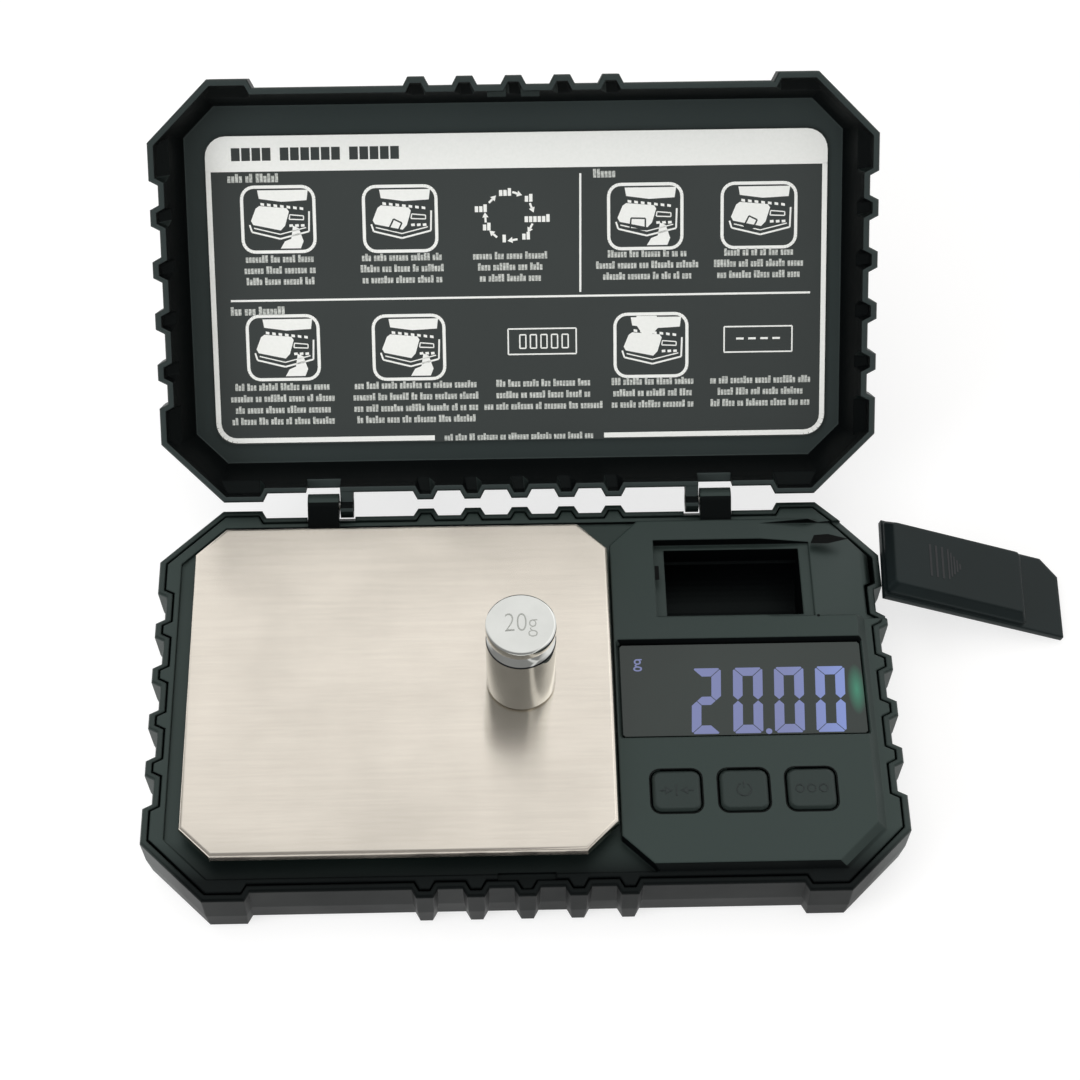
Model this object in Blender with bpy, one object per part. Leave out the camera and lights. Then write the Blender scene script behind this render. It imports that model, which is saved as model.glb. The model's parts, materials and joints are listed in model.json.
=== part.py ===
"""A folding pocket gram scale with a storage cover and a check weight.

All sizes below are millimetres and MM turns them into metres. The frame has +X to
the right, +Y to the hinge side and +Z up, and its origin is the centre of the
case's flat underside. The lid stands open, the cover is off and the weight stands
on the platform. Pieces that would touch keep the gap GAP.
"""
import math

import bmesh
import bpy
from mathutils import Matrix, Vector

MM = 0.001
GAP = 0.3

# Case: outline of the lower shell, with corner blocks and ribs
CASE_X = 141.0
CASE_Y = 84.8
CORNER_CUT = 11.8
BLOCK_ALONG_X = 19.5
BLOCK_ALONG_Y = 19.0
RELIEF = 1.7
RIB_HALF = 1.55
RIB_SLOPE = 0.9
FRONT_RIB_PITCH = 9.28
FRONT_RIBS = 5
SIDE_RIB_PITCH = 10.0
SIDE_RIBS = 4

# Case: heights and walls
SEAM_Z = 14.0
FLOOR = 1.2
SKIN = 1.2
UNDERCUT = 2.6
DECK_TOP = 13.3
DECK_UNDER = 12.3
PANEL_Z = 15.6
BORDER_INSET = SKIN + GAP
LIP = 1.1

# Lid
LID_TOP = 27.2
LID_STEP = 0.5
LID_FRONT_Y = -CASE_Y / 2 + 1.0
LID_BACK_Y = CASE_Y / 2 - 1.6
LID_FLOOR_Z = 25.4
LID_WALL = 1.2
LID_FLOOR_INSET = 4.0
LID_OPEN_DEG = 133.0
LABEL_X = 121.6
LABEL_Y = 61.2
LABEL_MID_X = 0.5
LABEL_MID_Y = 0.6
LABEL_THICK = 0.4
LABEL_RADIUS = 4.0
LATCH_TAB_X = 3.2
LATCH_TAB_HALF = 1.8
LATCH_TAB_DEPTH = 1.2

# Hinge
HINGE_Y = CASE_Y / 2 - 0.4
HINGE_Z = 15.6
BARREL_R = 2.4
PIN_R = 0.9
ARM_X0 = 35.6
ARM_X1 = 41.7
KNUCKLE_WIDTH = 2.5
ARM_REACH = 5.6

# Platform
PLATFORM_X = 80.0
PLATFORM_Y = 70.9
PLATFORM_CUT = 5.8
PLATFORM_TOP = 18.0
PLATFORM_SKIRT = 2.0
PLATFORM_SHEET = 0.8
PLATFORM_FROM_LEFT = 7.4
TRAY_THICK = 1.5
PLATFORM_MID_X = -CASE_X / 2 + PLATFORM_FROM_LEFT + PLATFORM_X / 2

# Control panel on the right of the platform
PANEL_X0 = PLATFORM_MID_X + PLATFORM_X / 2 + 0.5
PANEL_X1 = CASE_X / 2 - 4.5
PANEL_BEVEL = 1.7
PANEL_BEVEL_FRONT = 0.9
PANEL_BEVEL_BACK = 0.6
PANEL_LEFT_HALF = 31.6
PANEL_CUT_RIGHT = 7.6
PANEL_FRONT_Y = -CASE_Y / 2 + 4.2
PANEL_BACK_Y = CASE_Y / 2 - 4.6
PANEL_MID_X = (PANEL_X0 + PANEL_X1) / 2 - 0.3

# Display
WINDOW_X = 46.4
WINDOW_Y = 20.4
WINDOW_MID_Y = -0.7
WINDOW_DEPTH = 1.0
WINDOW_THICK = 1.0
WINDOW_LEDGE = 1.3
WINDOW_SLOPE = 0.5
LCD_THICK = 1.7
BACKLIGHT_THICK = 1.1
BOARD_THICK = 1.0
BOARD_TOP = 9.6
BOARD_X = 38.0
BOARD_FRONT_Y = -33.0
BOARD_BACK_Y = 12.0

# Buttons
BUTTON_X = 8.9
BUTTON_Y = 8.4
BUTTON_PITCH = 12.45
BUTTON_MID_Y = -22.7
BUTTON_RADIUS = 1.6
BUTTON_PROUD = 0.3
BUTTON_FLANGE = 1.0
BUTTON_FLANGE_THICK = 1.1
BUTTON_NAMES = ("tare_button", "power_button", "mode_button")

# Check weight and its compartment
WEIGHT_R = 6.5
WEIGHT_H = 20.2
WEIGHT_X = -0.4
WEIGHT_Y = -0.2
WELL_X = 26.4
WELL_Y = 15.1
WELL_MID_Y = 23.85
WELL_FLOOR_Z = 2.4
WELL_WALL = 1.0
CRADLE_R = 7.0
SEAT_X = 30.6
SEAT_Y = 17.5
SEAT_DEPTH = 2.0
WELL_MID_X = PANEL_X0 + 23.85

# Storage cover
COVER_X = 38.7
COVER_Y = 18.1
COVER_PLATE = 1.2
COVER_CUT = 3.6
BLOCK_X = 30.0
BLOCK_Y = 16.9
BLOCK_H = 2.6
BLOCK_SLOPE = 1.2
COVER_LEFT = WELL_MID_X - SEAT_X / 2 + 1.2
COVER_Z = PANEL_Z + GAP
COVER_SWING_DIR = (-0.10638, 0.97682, -0.18573)
COVER_SWING_POINT = (41.70, 24.15, -113.65)
COVER_SWING_DEG = 19.54
RAMP_X = 47.0
RAMP_FALL = 0.156
RAMP_FRONT_Y = 14.8
RAMP_BACK_Y = (36.2, 38.6)

# Load cell
CELL_LENGTH = 45.0
CELL_WIDTH = 9.0
CELL_THICK = 6.0
CELL_UNDER = 4.2
CELL_END = 12.0
CELL_SCREW_PITCH = 6.0
SCREW_R = 1.1
SCREW_HOLE_R = 1.5
POST_X = 10.0
POST_Y = 8.0
POST_CLEARANCE = 2.0

# Batteries
AAA_R = 5.25
AAA_LENGTH = 44.5
AAA_PITCH = 11.0
BAY_X = 51.0
BAY_WALL = 1.2
BAY_MID_X = -18.0
BAY_MID_Y = -23.6
CONTACT_THICK = 0.5
SPRING_LENGTH = 3.4
DOOR_THICK = 1.2

# Feet and case screws
FOOT_R = 4.0
FOOT_THICK = 0.5
FOOT_X = 56.0
FOOT_Y = 31.0
BOSS_X = 62.3
BOSS_Y = 22.0
BOSS_R = 3.7
BOSS_TOP = 9.6
HEAD_R = 2.3
HEAD_THICK = 1.6

HALF_X = CASE_X / 2
HALF_Y = CASE_Y / 2


def remove_all_objects():
    for old in list(bpy.data.objects):
        bpy.data.objects.remove(old, do_unlink=True)


def case_outline(half_x, half_y, inset, relief=1.0):
    """Anticlockwise outline of the case, moved inwards by inset.

    relief scales how far the corner blocks and ribs stand out of the walls.
    """
    out = RELIEF * relief
    wall_x = half_x - RELIEF - inset
    wall_y = half_y - RELIEF - inset
    cut = CORNER_CUT - RELIEF * 2 * (1 - relief) - inset * (2 - math.sqrt(2))
    narrow = inset * (math.sqrt(2) - 1)

    def run(wall, reach, block_start, pitch, count):
        """Offsets along one side: (position, distance out), from -reach to +reach."""
        points = [(-reach + cut, wall + out), (-block_start - narrow, wall + out)]
        points.append((-block_start + RIB_SLOPE - narrow, wall))
        for index in range(count):
            middle = (index - (count - 1) / 2) * pitch
            half = max(RIB_HALF - narrow, 0.2)
            points.append((middle - half - RIB_SLOPE, wall))
            points.append((middle - half, wall + out))
            points.append((middle + half, wall + out))
            points.append((middle + half + RIB_SLOPE, wall))
        points.append((block_start - RIB_SLOPE + narrow, wall))
        points.append((block_start + narrow, wall + out))
        points.append((reach - cut, wall + out))
        return points

    start_x = half_x - BLOCK_ALONG_X
    start_y = half_y - BLOCK_ALONG_Y
    long_run = run(wall_y, wall_x + out, start_x, FRONT_RIB_PITCH, FRONT_RIBS)
    short_run = run(wall_x, wall_y + out, start_y, SIDE_RIB_PITCH, SIDE_RIBS)
    points = [(t, -o) for t, o in long_run]
    points += [(o, t) for t, o in short_run]
    points += [(-t, o) for t, o in long_run]
    points += [(-o, -t) for t, o in short_run]
    return points


def cut_rectangle(half_x, half_y, cut):
    """Anticlockwise rectangle with its four corners cut off at 45 degrees."""
    return [
        (half_x - cut, -half_y), (half_x, -half_y + cut), (half_x, half_y - cut),
        (half_x - cut, half_y), (-half_x + cut, half_y), (-half_x, half_y - cut),
        (-half_x, -half_y + cut), (-half_x + cut, -half_y),
    ]


def round_rectangle(half_x, half_y, radius, steps=4):
    """Anticlockwise rectangle with round corners."""
    points = []
    corners = ((1, -1, -90), (1, 1, 0), (-1, 1, 90), (-1, -1, 180))
    for side_x, side_y, start in corners:
        for step in range(steps + 1):
            angle = math.radians(start + 90 * step / steps)
            x = side_x * (half_x - radius) + radius * math.cos(angle)
            y = side_y * (half_y - radius) + radius * math.sin(angle)
            points.append((x, y))
    return points


def moved(points, dx, dy):
    return [(x + dx, y + dy) for x, y in points]


def loft(bm, rings):
    """A closed body through rings of (outline, z), capped at both ends."""
    loops = []
    for outline, z in rings:
        loops.append([bm.verts.new((x, y, z)) for x, y in outline])
    count = len(loops[0])
    for lower, upper in zip(loops, loops[1:]):
        for i in range(count):
            j = (i + 1) % count
            bm.faces.new((lower[i], lower[j], upper[j], upper[i]))
    bm.faces.new(list(reversed(loops[0])))
    bm.faces.new(loops[-1])


def add_prism(bm, outline, z0, z1):
    loft(bm, [(outline, z0), (outline, z1)])


def add_box(bm, x0, x1, y0, y1, z0, z1):
    add_prism(bm, [(x0, y0), (x1, y0), (x1, y1), (x0, y1)], z0, z1)


def add_turned(bm, profile, centre, segments=24, turn=None):
    """A turned body: profile holds (radius, height) pairs, from bottom to top."""
    part = bmesh.new()
    rings = []
    for radius, height in profile:
        circle = []
        for step in range(segments):
            angle = 2 * math.pi * step / segments
            circle.append((radius * math.cos(angle), radius * math.sin(angle)))
        rings.append((circle, height))
    loft(part, rings)
    place = Matrix.Translation(Vector(centre))
    if turn:
        place = place @ turn
    part.transform(place)
    append(bm, part)


def append(bm, part):
    mesh = bpy.data.meshes.new("joined")
    part.to_mesh(mesh)
    part.free()
    bm.from_mesh(mesh)
    bpy.data.meshes.remove(mesh)


def add_side_prism(bm, profile, x0, x1):
    """A prism along X whose section is a list of (y, z) points."""
    part = bmesh.new()
    add_prism(part, profile, x0, x1)
    axes = Matrix(((0, 0, 1, 0), (1, 0, 0, 0), (0, 1, 0, 0), (0, 0, 0, 1)))
    part.transform(axes)
    append(bm, part)


ALONG_X = Matrix.Rotation(math.radians(90), 4, "Y")


def material(name, colour, roughness, metallic=0.0):
    made = bpy.data.materials.new(name)
    made.use_nodes = True
    shader = made.node_tree.nodes["Principled BSDF"]
    shader.inputs["Base Color"].default_value = (*colour, 1.0)
    shader.inputs["Roughness"].default_value = roughness
    shader.inputs["Metallic"].default_value = metallic
    return made


CASE_PLASTIC = ((0.045, 0.052, 0.052), 0.55)
BLACK_PLASTIC = ((0.02, 0.024, 0.026), 0.5)
RUBBER = ((0.03, 0.03, 0.03), 0.85)
STEEL = ((0.75, 0.73, 0.70), 0.3, 1.0)
CHROME = ((0.80, 0.81, 0.80), 0.15, 1.0)
ALUMINIUM = ((0.72, 0.73, 0.74), 0.4, 1.0)
BOARD_GREEN = ((0.02, 0.18, 0.07), 0.5)
GLASS_DARK = ((0.06, 0.07, 0.06), 0.1)
WHITE_PLASTIC = ((0.8, 0.8, 0.78), 0.4)
CELL_JACKET = ((0.10, 0.16, 0.35), 0.35)
RED_PVC = ((0.6, 0.03, 0.02), 0.5)


def make_object(name, bm, smooth=False):
    bmesh.ops.recalc_face_normals(bm, faces=bm.faces[:])
    bm.transform(Matrix.Scale(MM, 4))
    mesh = bpy.data.meshes.new(name)
    bm.to_mesh(mesh)
    bm.free()
    if smooth:
        mesh.shade_smooth()
        mesh.set_sharp_from_angle(angle=math.radians(35))
    made = bpy.data.objects.new(name, mesh)
    bpy.context.scene.collection.objects.link(made)
    return made


def solid(name, bm, look, parent=None, smooth=False):
    """A finished piece. With a parent empty its mesh is in that empty's frame."""
    made = make_object(name, bm, smooth)
    made.data.materials.append(material(name, *look))
    if parent:
        made.parent = parent
    return made


def boolean(target, name, bm, operation, parent=None):
    """Cut or join a helper body; the helper stays hidden as a wire guide."""
    helper = make_object(name, bm)
    helper.hide_render = True
    helper.display_type = "WIRE"
    if parent:
        helper.parent = parent
    step = target.modifiers.new(name, "BOOLEAN")
    step.operation = operation
    step.solver = "EXACT"
    step.object = helper


def axis_empty(name, point, turn=None):
    made = bpy.data.objects.new(name, None)
    place = Matrix.Translation(Vector(point) * MM)
    if turn:
        place = place @ turn
    made.matrix_world = place
    bpy.context.scene.collection.objects.link(made)
    return made


def shell_rings(half_x, half_y, steps):
    return [(case_outline(half_x, half_y, inset, relief), z) for z, inset, relief in steps]


def arm_profile(root_y, root_low, root_high, under):
    """Section of a hinge arm: from its root on the case to the round barrel."""
    points = [(root_y, root_low), (root_y, root_high)]
    for degrees in range(125, -91, -18):
        angle = math.radians(degrees)
        y = HINGE_Y + BARREL_R * math.cos(angle)
        z = HINGE_Z + BARREL_R * math.sin(angle)
        points.append((y, z))
    points.append((HINGE_Y, HINGE_Z - BARREL_R))
    points += under
    return points


def ramp_cutter(bm):
    """The sloping way by which the storage cover leaves the case on the right."""
    reach = HALF_X + 2
    fall = RAMP_FALL * (reach - RAMP_X)
    plan = [(RAMP_X, RAMP_FRONT_Y), (reach, RAMP_FRONT_Y), (reach, RAMP_BACK_Y[1]),
            (RAMP_X, RAMP_BACK_Y[0])]
    low = [PANEL_Z, PANEL_Z - fall, PANEL_Z - fall, PANEL_Z]
    top = PANEL_Z + 6
    lower = [bm.verts.new((x, y, z)) for (x, y), z in zip(plan, low)]
    upper = [bm.verts.new((x, y, top)) for x, y in plan]
    for i in range(4):
        j = (i + 1) % 4
        bm.faces.new((lower[i], lower[j], upper[j], upper[i]))
    bm.faces.new(list(reversed(lower)))
    bm.faces.new(upper)


def corner_places(x, y):
    return [(-x, -y), (x, -y), (x, y), (-x, y)]


def barrel_notch(bm):
    """Room in the case's back wall for the hinge barrels."""
    x0 = ARM_X0 - 2 * GAP - KNUCKLE_WIDTH
    length = ARM_X1 + GAP - x0
    for start in (x0, -x0 - length):
        place = (start, HINGE_Y, HINGE_Z)
        profile = [(BARREL_R + 2 * GAP, 0), (BARREL_R + 2 * GAP, length)]
        add_turned(bm, profile, place, 32, ALONG_X)


def pinhole(bm, x0, x1):
    length = x1 - x0
    place = (x0, HINGE_Y, HINGE_Z)
    add_turned(bm, [(PIN_R + GAP, 0), (PIN_R + GAP, length)], place, 16, ALONG_X)


def build_bottom_case():
    """Lower shell: a ribbed tub with a battery bay, screw bosses and cell seat."""
    bm = bmesh.new()
    rings = shell_rings(HALF_X, HALF_Y, [
        (0, UNDERCUT, 1), (2.0, 1.0, 1), (7.0, 0.3, 1), (SEAM_Z - 0.4, 0, 1),
        (SEAM_Z, 0.3, 1), (SEAM_Z, SKIN, 1), (9.0, SKIN + 0.3, 1), (FLOOR, UNDERCUT + 1.2, 1),
    ])
    loft(bm, rings)
    case = solid("bottom_case", bm, CASE_PLASTIC)

    bosses = bmesh.new()
    for x, y in corner_places(BOSS_X, BOSS_Y):
        add_turned(bosses, [(BOSS_R, FLOOR / 2), (BOSS_R, BOSS_TOP)], (x, y, 0))
    boolean(case, "guide_case_bosses", bosses, "UNION")

    bay = bmesh.new()
    bay_half_x = BAY_X / 2 + BAY_WALL
    bay_half_y = AAA_PITCH / 2 + AAA_R + 0.5 + BAY_WALL
    wall = [(-bay_half_x, -bay_half_y), (bay_half_x, -bay_half_y),
            (bay_half_x, bay_half_y), (-bay_half_x, bay_half_y)]
    add_prism(bay, moved(wall, BAY_MID_X, BAY_MID_Y), FLOOR / 2, DECK_UNDER - 2 * GAP)
    boolean(case, "guide_bay_walls", bay, "UNION")

    seat = bmesh.new()
    x0 = PLATFORM_MID_X - CELL_LENGTH / 2
    add_box(seat, x0, x0 + CELL_END, -CELL_WIDTH / 2, CELL_WIDTH / 2, FLOOR / 2, CELL_UNDER - GAP)
    boolean(case, "guide_cell_seat", seat, "UNION")

    openings = bmesh.new()
    inner_x = BAY_X / 2
    inner_y = AAA_PITCH / 2 + AAA_R + 0.5
    add_box(openings, BAY_MID_X - inner_x, BAY_MID_X + inner_x, BAY_MID_Y - inner_y,
            BAY_MID_Y + inner_y, -1, DECK_UNDER + 1)
    for x, y in corner_places(FOOT_X, FOOT_Y):
        add_turned(openings, [(FOOT_R + GAP, -1), (FOOT_R + GAP, FOOT_THICK + GAP)], (x, y, 0))
    for x, y in corner_places(BOSS_X, BOSS_Y):
        deep = HEAD_THICK + 1.2
        profile = [(HEAD_R + GAP, -1), (HEAD_R + GAP, deep), (SCREW_HOLE_R, deep),
                   (SCREW_HOLE_R, BOSS_TOP + 1)]
        add_turned(openings, profile, (x, y, 0))
    for place in cell_screw_places(fixed=True):
        hole = [(SCREW_HOLE_R, FLOOR), (SCREW_HOLE_R, CELL_UNDER + 1)]
        add_turned(openings, hole, (place, 0, 0), 16)
    boolean(case, "guide_case_openings", openings, "DIFFERENCE")

    way = bmesh.new()
    ramp_cutter(way)
    boolean(case, "guide_case_ramp", way, "DIFFERENCE")
    notch = bmesh.new()
    barrel_notch(notch)
    boolean(case, "guide_barrel_notch", notch, "DIFFERENCE")


def cell_screw_places(fixed):
    side = -1 if fixed else 1
    middle = PLATFORM_MID_X + side * (CELL_LENGTH - CELL_END) / 2
    return [middle - CELL_SCREW_PITCH / 2, middle + CELL_SCREW_PITCH / 2]


def panel_outline(rise):
    """Plan of the raised control panel, with cut corners, from foot (0) to top (1)."""
    x0 = PANEL_X0
    x1 = PANEL_X1 - rise * PANEL_BEVEL
    y0 = PANEL_FRONT_Y + rise * PANEL_BEVEL_FRONT
    y1 = PANEL_BACK_Y - rise * PANEL_BEVEL_BACK
    side = PANEL_LEFT_HALF
    right = PANEL_CUT_RIGHT
    return [(x0 - y0 - side, y0), (x1 - right, y0), (x1, y0 + right), (x1, y1 - right),
            (x1 - right, y1), (x0 + y1 - side, y1), (x0, side), (x0, -side)]


def build_top_case():
    """Upper shell: deck under the platform, raised panel, well and hinge arms."""
    bm = bmesh.new()
    rings = shell_rings(HALF_X, HALF_Y, [
        (DECK_UNDER, BORDER_INSET + 0.5, 1), (SEAM_Z - 0.3, BORDER_INSET, 1),
        (SEAM_Z, BORDER_INSET + 0.2, 1),
    ])
    loft(bm, rings)
    case = solid("top_case", bm, CASE_PLASTIC)

    pocket = bmesh.new()
    x0 = -HALF_X + BORDER_INSET + RELIEF + LIP
    y0 = HALF_Y - BORDER_INSET - RELIEF - LIP
    cut = CORNER_CUT - 3.6
    x1 = PANEL_X0 + 10
    pocket_plan = [(x0 + cut, -y0), (x1, -y0), (x1, y0), (x0 + cut, y0), (x0, y0 - cut),
                   (x0, -y0 + cut)]
    add_prism(pocket, pocket_plan, DECK_TOP, PANEL_Z + 2)
    boolean(case, "guide_pocket", pocket, "DIFFERENCE")

    panel = bmesh.new()
    loft(panel, [(panel_outline(0.1), DECK_UNDER + 0.3), (panel_outline(0), SEAM_Z),
                 (panel_outline(1), PANEL_Z)])
    boolean(case, "guide_panel", panel, "UNION")

    well = bmesh.new()
    half_x = WELL_X / 2 + WELL_WALL
    half_y = WELL_Y / 2 + WELL_WALL
    add_box(well, WELL_MID_X - half_x, WELL_MID_X + half_x, WELL_MID_Y - half_y,
            WELL_MID_Y + half_y, WELL_FLOOR_Z - WELL_WALL + 0.1, DECK_UNDER + 0.5)
    boolean(case, "guide_well_walls", well, "UNION")

    slope = bmesh.new()
    x0 = WELL_MID_X + half_x - 0.5
    x1 = HALF_X - BORDER_INSET - RELIEF - 0.6
    y1 = HALF_Y - 8.0
    corner = HALF_X + HALF_Y - CORNER_CUT - 4.0
    plan = [(x0, RAMP_FRONT_Y - 1.2), (x1, RAMP_FRONT_Y - 1.2), (x1, corner - x1),
            (corner - y1, y1), (x0, y1)]
    add_prism(slope, plan, DECK_UNDER - 2.0, DECK_UNDER + 0.5)
    boolean(case, "guide_ramp_body", slope, "UNION")

    arms = bmesh.new()
    root = HALF_Y - ARM_REACH
    edge = HALF_Y - RELIEF - BORDER_INSET - 0.2
    under = [(edge, SEAM_Z + GAP), (edge, DECK_UNDER + 0.3)]
    profile = arm_profile(root, DECK_UNDER + 0.3, SEAM_Z + 0.2, under)
    for side in (-1, 1):
        x0, x1 = sorted((side * ARM_X0, side * ARM_X1))
        add_side_prism(arms, profile, x0, x1)
    boolean(case, "guide_arms", arms, "UNION")

    posts = bmesh.new()
    for x, y in corner_places(BOSS_X, BOSS_Y):
        add_turned(posts, [(SCREW_HOLE_R + 1.1, BOSS_TOP + GAP),
                           (SCREW_HOLE_R + 1.1, DECK_UNDER + 0.5)], (x, y, 0))
    boolean(case, "guide_posts", posts, "UNION")

    hollow = bmesh.new()
    add_box(hollow, WELL_MID_X - WELL_X / 2, WELL_MID_X + WELL_X / 2,
            WELL_MID_Y - WELL_Y / 2, WELL_MID_Y + WELL_Y / 2,
            WELL_FLOOR_Z + CRADLE_R, PANEL_Z + 3)
    boolean(case, "guide_well", hollow, "DIFFERENCE")
    cradle = bmesh.new()
    place = (WELL_MID_X - WELL_X / 2, WELL_MID_Y, WELL_FLOOR_Z + CRADLE_R)
    add_turned(cradle, [(CRADLE_R, 0), (CRADLE_R, WELL_X)], place, 40, ALONG_X)
    boolean(case, "guide_cradle", cradle, "DIFFERENCE")

    holes = bmesh.new()
    add_box(holes, WELL_MID_X - SEAT_X / 2, WELL_MID_X + SEAT_X / 2,
            WELL_MID_Y - SEAT_Y / 2, WELL_MID_Y + SEAT_Y / 2, PANEL_Z - SEAT_DEPTH, PANEL_Z + 1)
    window = round_rectangle(WINDOW_X / 2, WINDOW_Y / 2, 0.4, 1)
    sloped = round_rectangle(WINDOW_X / 2 + WINDOW_SLOPE, WINDOW_Y / 2 + WINDOW_SLOPE, 0.4, 1)
    ledge_z = PANEL_Z - WINDOW_DEPTH - WINDOW_THICK - GAP
    loft(holes, [(moved(window, PANEL_MID_X, WINDOW_MID_Y), ledge_z),
                 (moved(window, PANEL_MID_X, WINDOW_MID_Y), PANEL_Z - WINDOW_DEPTH),
                 (moved(sloped, PANEL_MID_X, WINDOW_MID_Y), PANEL_Z + 0.01)])
    for index in range(3):
        x = button_x(index)
        hole = round_rectangle(BUTTON_X / 2 + GAP, BUTTON_Y / 2 + GAP, BUTTON_RADIUS + GAP)
        add_prism(holes, moved(hole, x, BUTTON_MID_Y), DECK_UNDER - 1, PANEL_Z + 1)
    half_post_x = POST_X / 2 + POST_CLEARANCE
    half_post_y = POST_Y / 2 + POST_CLEARANCE
    post_x = PLATFORM_MID_X + (CELL_LENGTH - CELL_END) / 2
    add_box(holes, post_x - half_post_x, post_x + half_post_x, -half_post_y, half_post_y,
            DECK_UNDER - 1, DECK_TOP + 1)
    for x, y in corner_places(BOSS_X, BOSS_Y):
        add_turned(holes, [(SCREW_HOLE_R, BOSS_TOP - 1), (SCREW_HOLE_R, DECK_UNDER)], (x, y, 0), 16)
    latch_y = -HALF_Y + BORDER_INSET + RELIEF
    add_box(holes, -LATCH_TAB_X - LATCH_TAB_HALF - GAP, LATCH_TAB_X + LATCH_TAB_HALF + GAP,
            latch_y - 2.5, latch_y + 1.6, SEAM_Z - 1.2, SEAM_Z + 1)
    boolean(case, "guide_panel_holes", holes, "DIFFERENCE")

    display = bmesh.new()
    half_x = WINDOW_X / 2 - WINDOW_LEDGE
    half_y = WINDOW_Y / 2 - WINDOW_LEDGE
    add_box(display, PANEL_MID_X - half_x, PANEL_MID_X + half_x, WINDOW_MID_Y - half_y,
            WINDOW_MID_Y + half_y, DECK_UNDER - 1, PANEL_Z - WINDOW_DEPTH - 0.1)
    boolean(case, "guide_display_opening", display, "DIFFERENCE")

    bores = bmesh.new()
    pinhole(bores, -ARM_X1 - 1, -ARM_X0 + 1)
    pinhole(bores, ARM_X0 - 1, ARM_X1 + 1)
    boolean(case, "guide_arm_bores", bores, "DIFFERENCE")

    way = bmesh.new()
    ramp_cutter(way)
    boolean(case, "guide_top_ramp", way, "DIFFERENCE")


def button_x(index):
    return PANEL_MID_X - 1.2 + (index - 1) * BUTTON_PITCH


def build_display_and_board():
    """Window, LCD, backlight, contact strip, circuit board, chip and keypad."""
    half_x = WINDOW_X / 2 - GAP
    half_y = WINDOW_Y / 2 - GAP
    top = PANEL_Z - WINDOW_DEPTH
    bm = bmesh.new()
    outline = moved(round_rectangle(half_x, half_y, 0.4, 1), PANEL_MID_X, WINDOW_MID_Y)
    add_prism(bm, outline, top - WINDOW_THICK, top)
    solid("display_window", bm, GLASS_DARK)

    lcd_x = WINDOW_X / 2 - WINDOW_LEDGE - GAP
    lcd_y = WINDOW_Y / 2 - WINDOW_LEDGE - GAP
    lcd_top = top - WINDOW_THICK - GAP
    x0 = PANEL_MID_X - lcd_x
    x1 = PANEL_MID_X + lcd_x
    y0 = WINDOW_MID_Y - lcd_y
    y1 = WINDOW_MID_Y + lcd_y
    bm = bmesh.new()
    add_box(bm, x0, x1, y0, y1, lcd_top - LCD_THICK, lcd_top)
    solid("lcd_glass", bm, GLASS_DARK)

    light_top = lcd_top - LCD_THICK - GAP
    strip = 2.2
    bm = bmesh.new()
    add_box(bm, x0, x1, y0 + strip + GAP, y1, BOARD_TOP + GAP, light_top)
    solid("backlight", bm, WHITE_PLASTIC)
    bm = bmesh.new()
    add_box(bm, x0 + 1, x1 - 1, y0, y0 + strip, BOARD_TOP + GAP, light_top)
    solid("contact_strip", bm, RUBBER)

    board_x0 = PANEL_X0 + 1.0
    bm = bmesh.new()
    add_box(bm, board_x0, board_x0 + BOARD_X, BOARD_FRONT_Y, BOARD_BACK_Y,
            BOARD_TOP - BOARD_THICK, BOARD_TOP)
    solid("circuit_board", bm, BOARD_GREEN)
    bm = bmesh.new()
    under = BOARD_TOP - BOARD_THICK - GAP
    add_box(bm, PANEL_MID_X - 6, PANEL_MID_X + 6, -6, 6, under - 1.4, under)
    solid("controller_chip", bm, BLACK_PLASTIC)
    bm = bmesh.new()
    half = BUTTON_PITCH + BUTTON_X / 2 + BUTTON_FLANGE
    add_box(bm, button_x(1) - half, button_x(1) + half, BUTTON_MID_Y - 6, BUTTON_MID_Y + 6,
            BOARD_TOP + GAP, BOARD_TOP + GAP + 0.4)
    solid("keypad_membrane", bm, RUBBER)


def build_buttons():
    """Three caps with a flange below the panel."""
    flange_top = DECK_UNDER - GAP
    for index, name in enumerate(BUTTON_NAMES):
        empty = axis_empty(name + "_axis", (button_x(index), BUTTON_MID_Y, PANEL_Z))
        bm = bmesh.new()
        wide = round_rectangle(BUTTON_X / 2 + BUTTON_FLANGE, BUTTON_Y / 2 + BUTTON_FLANGE,
                               BUTTON_RADIUS)
        cap = round_rectangle(BUTTON_X / 2, BUTTON_Y / 2, BUTTON_RADIUS)
        crown = round_rectangle(BUTTON_X / 2 - 0.5, BUTTON_Y / 2 - 0.5, BUTTON_RADIUS - 0.4)
        low = flange_top - BUTTON_FLANGE_THICK - PANEL_Z
        loft(bm, [(wide, low), (wide, flange_top - PANEL_Z), (cap, flange_top - PANEL_Z),
                  (cap, BUTTON_PROUD - 0.4), (crown, BUTTON_PROUD)])
        solid(name, bm, CASE_PLASTIC, empty)


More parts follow.
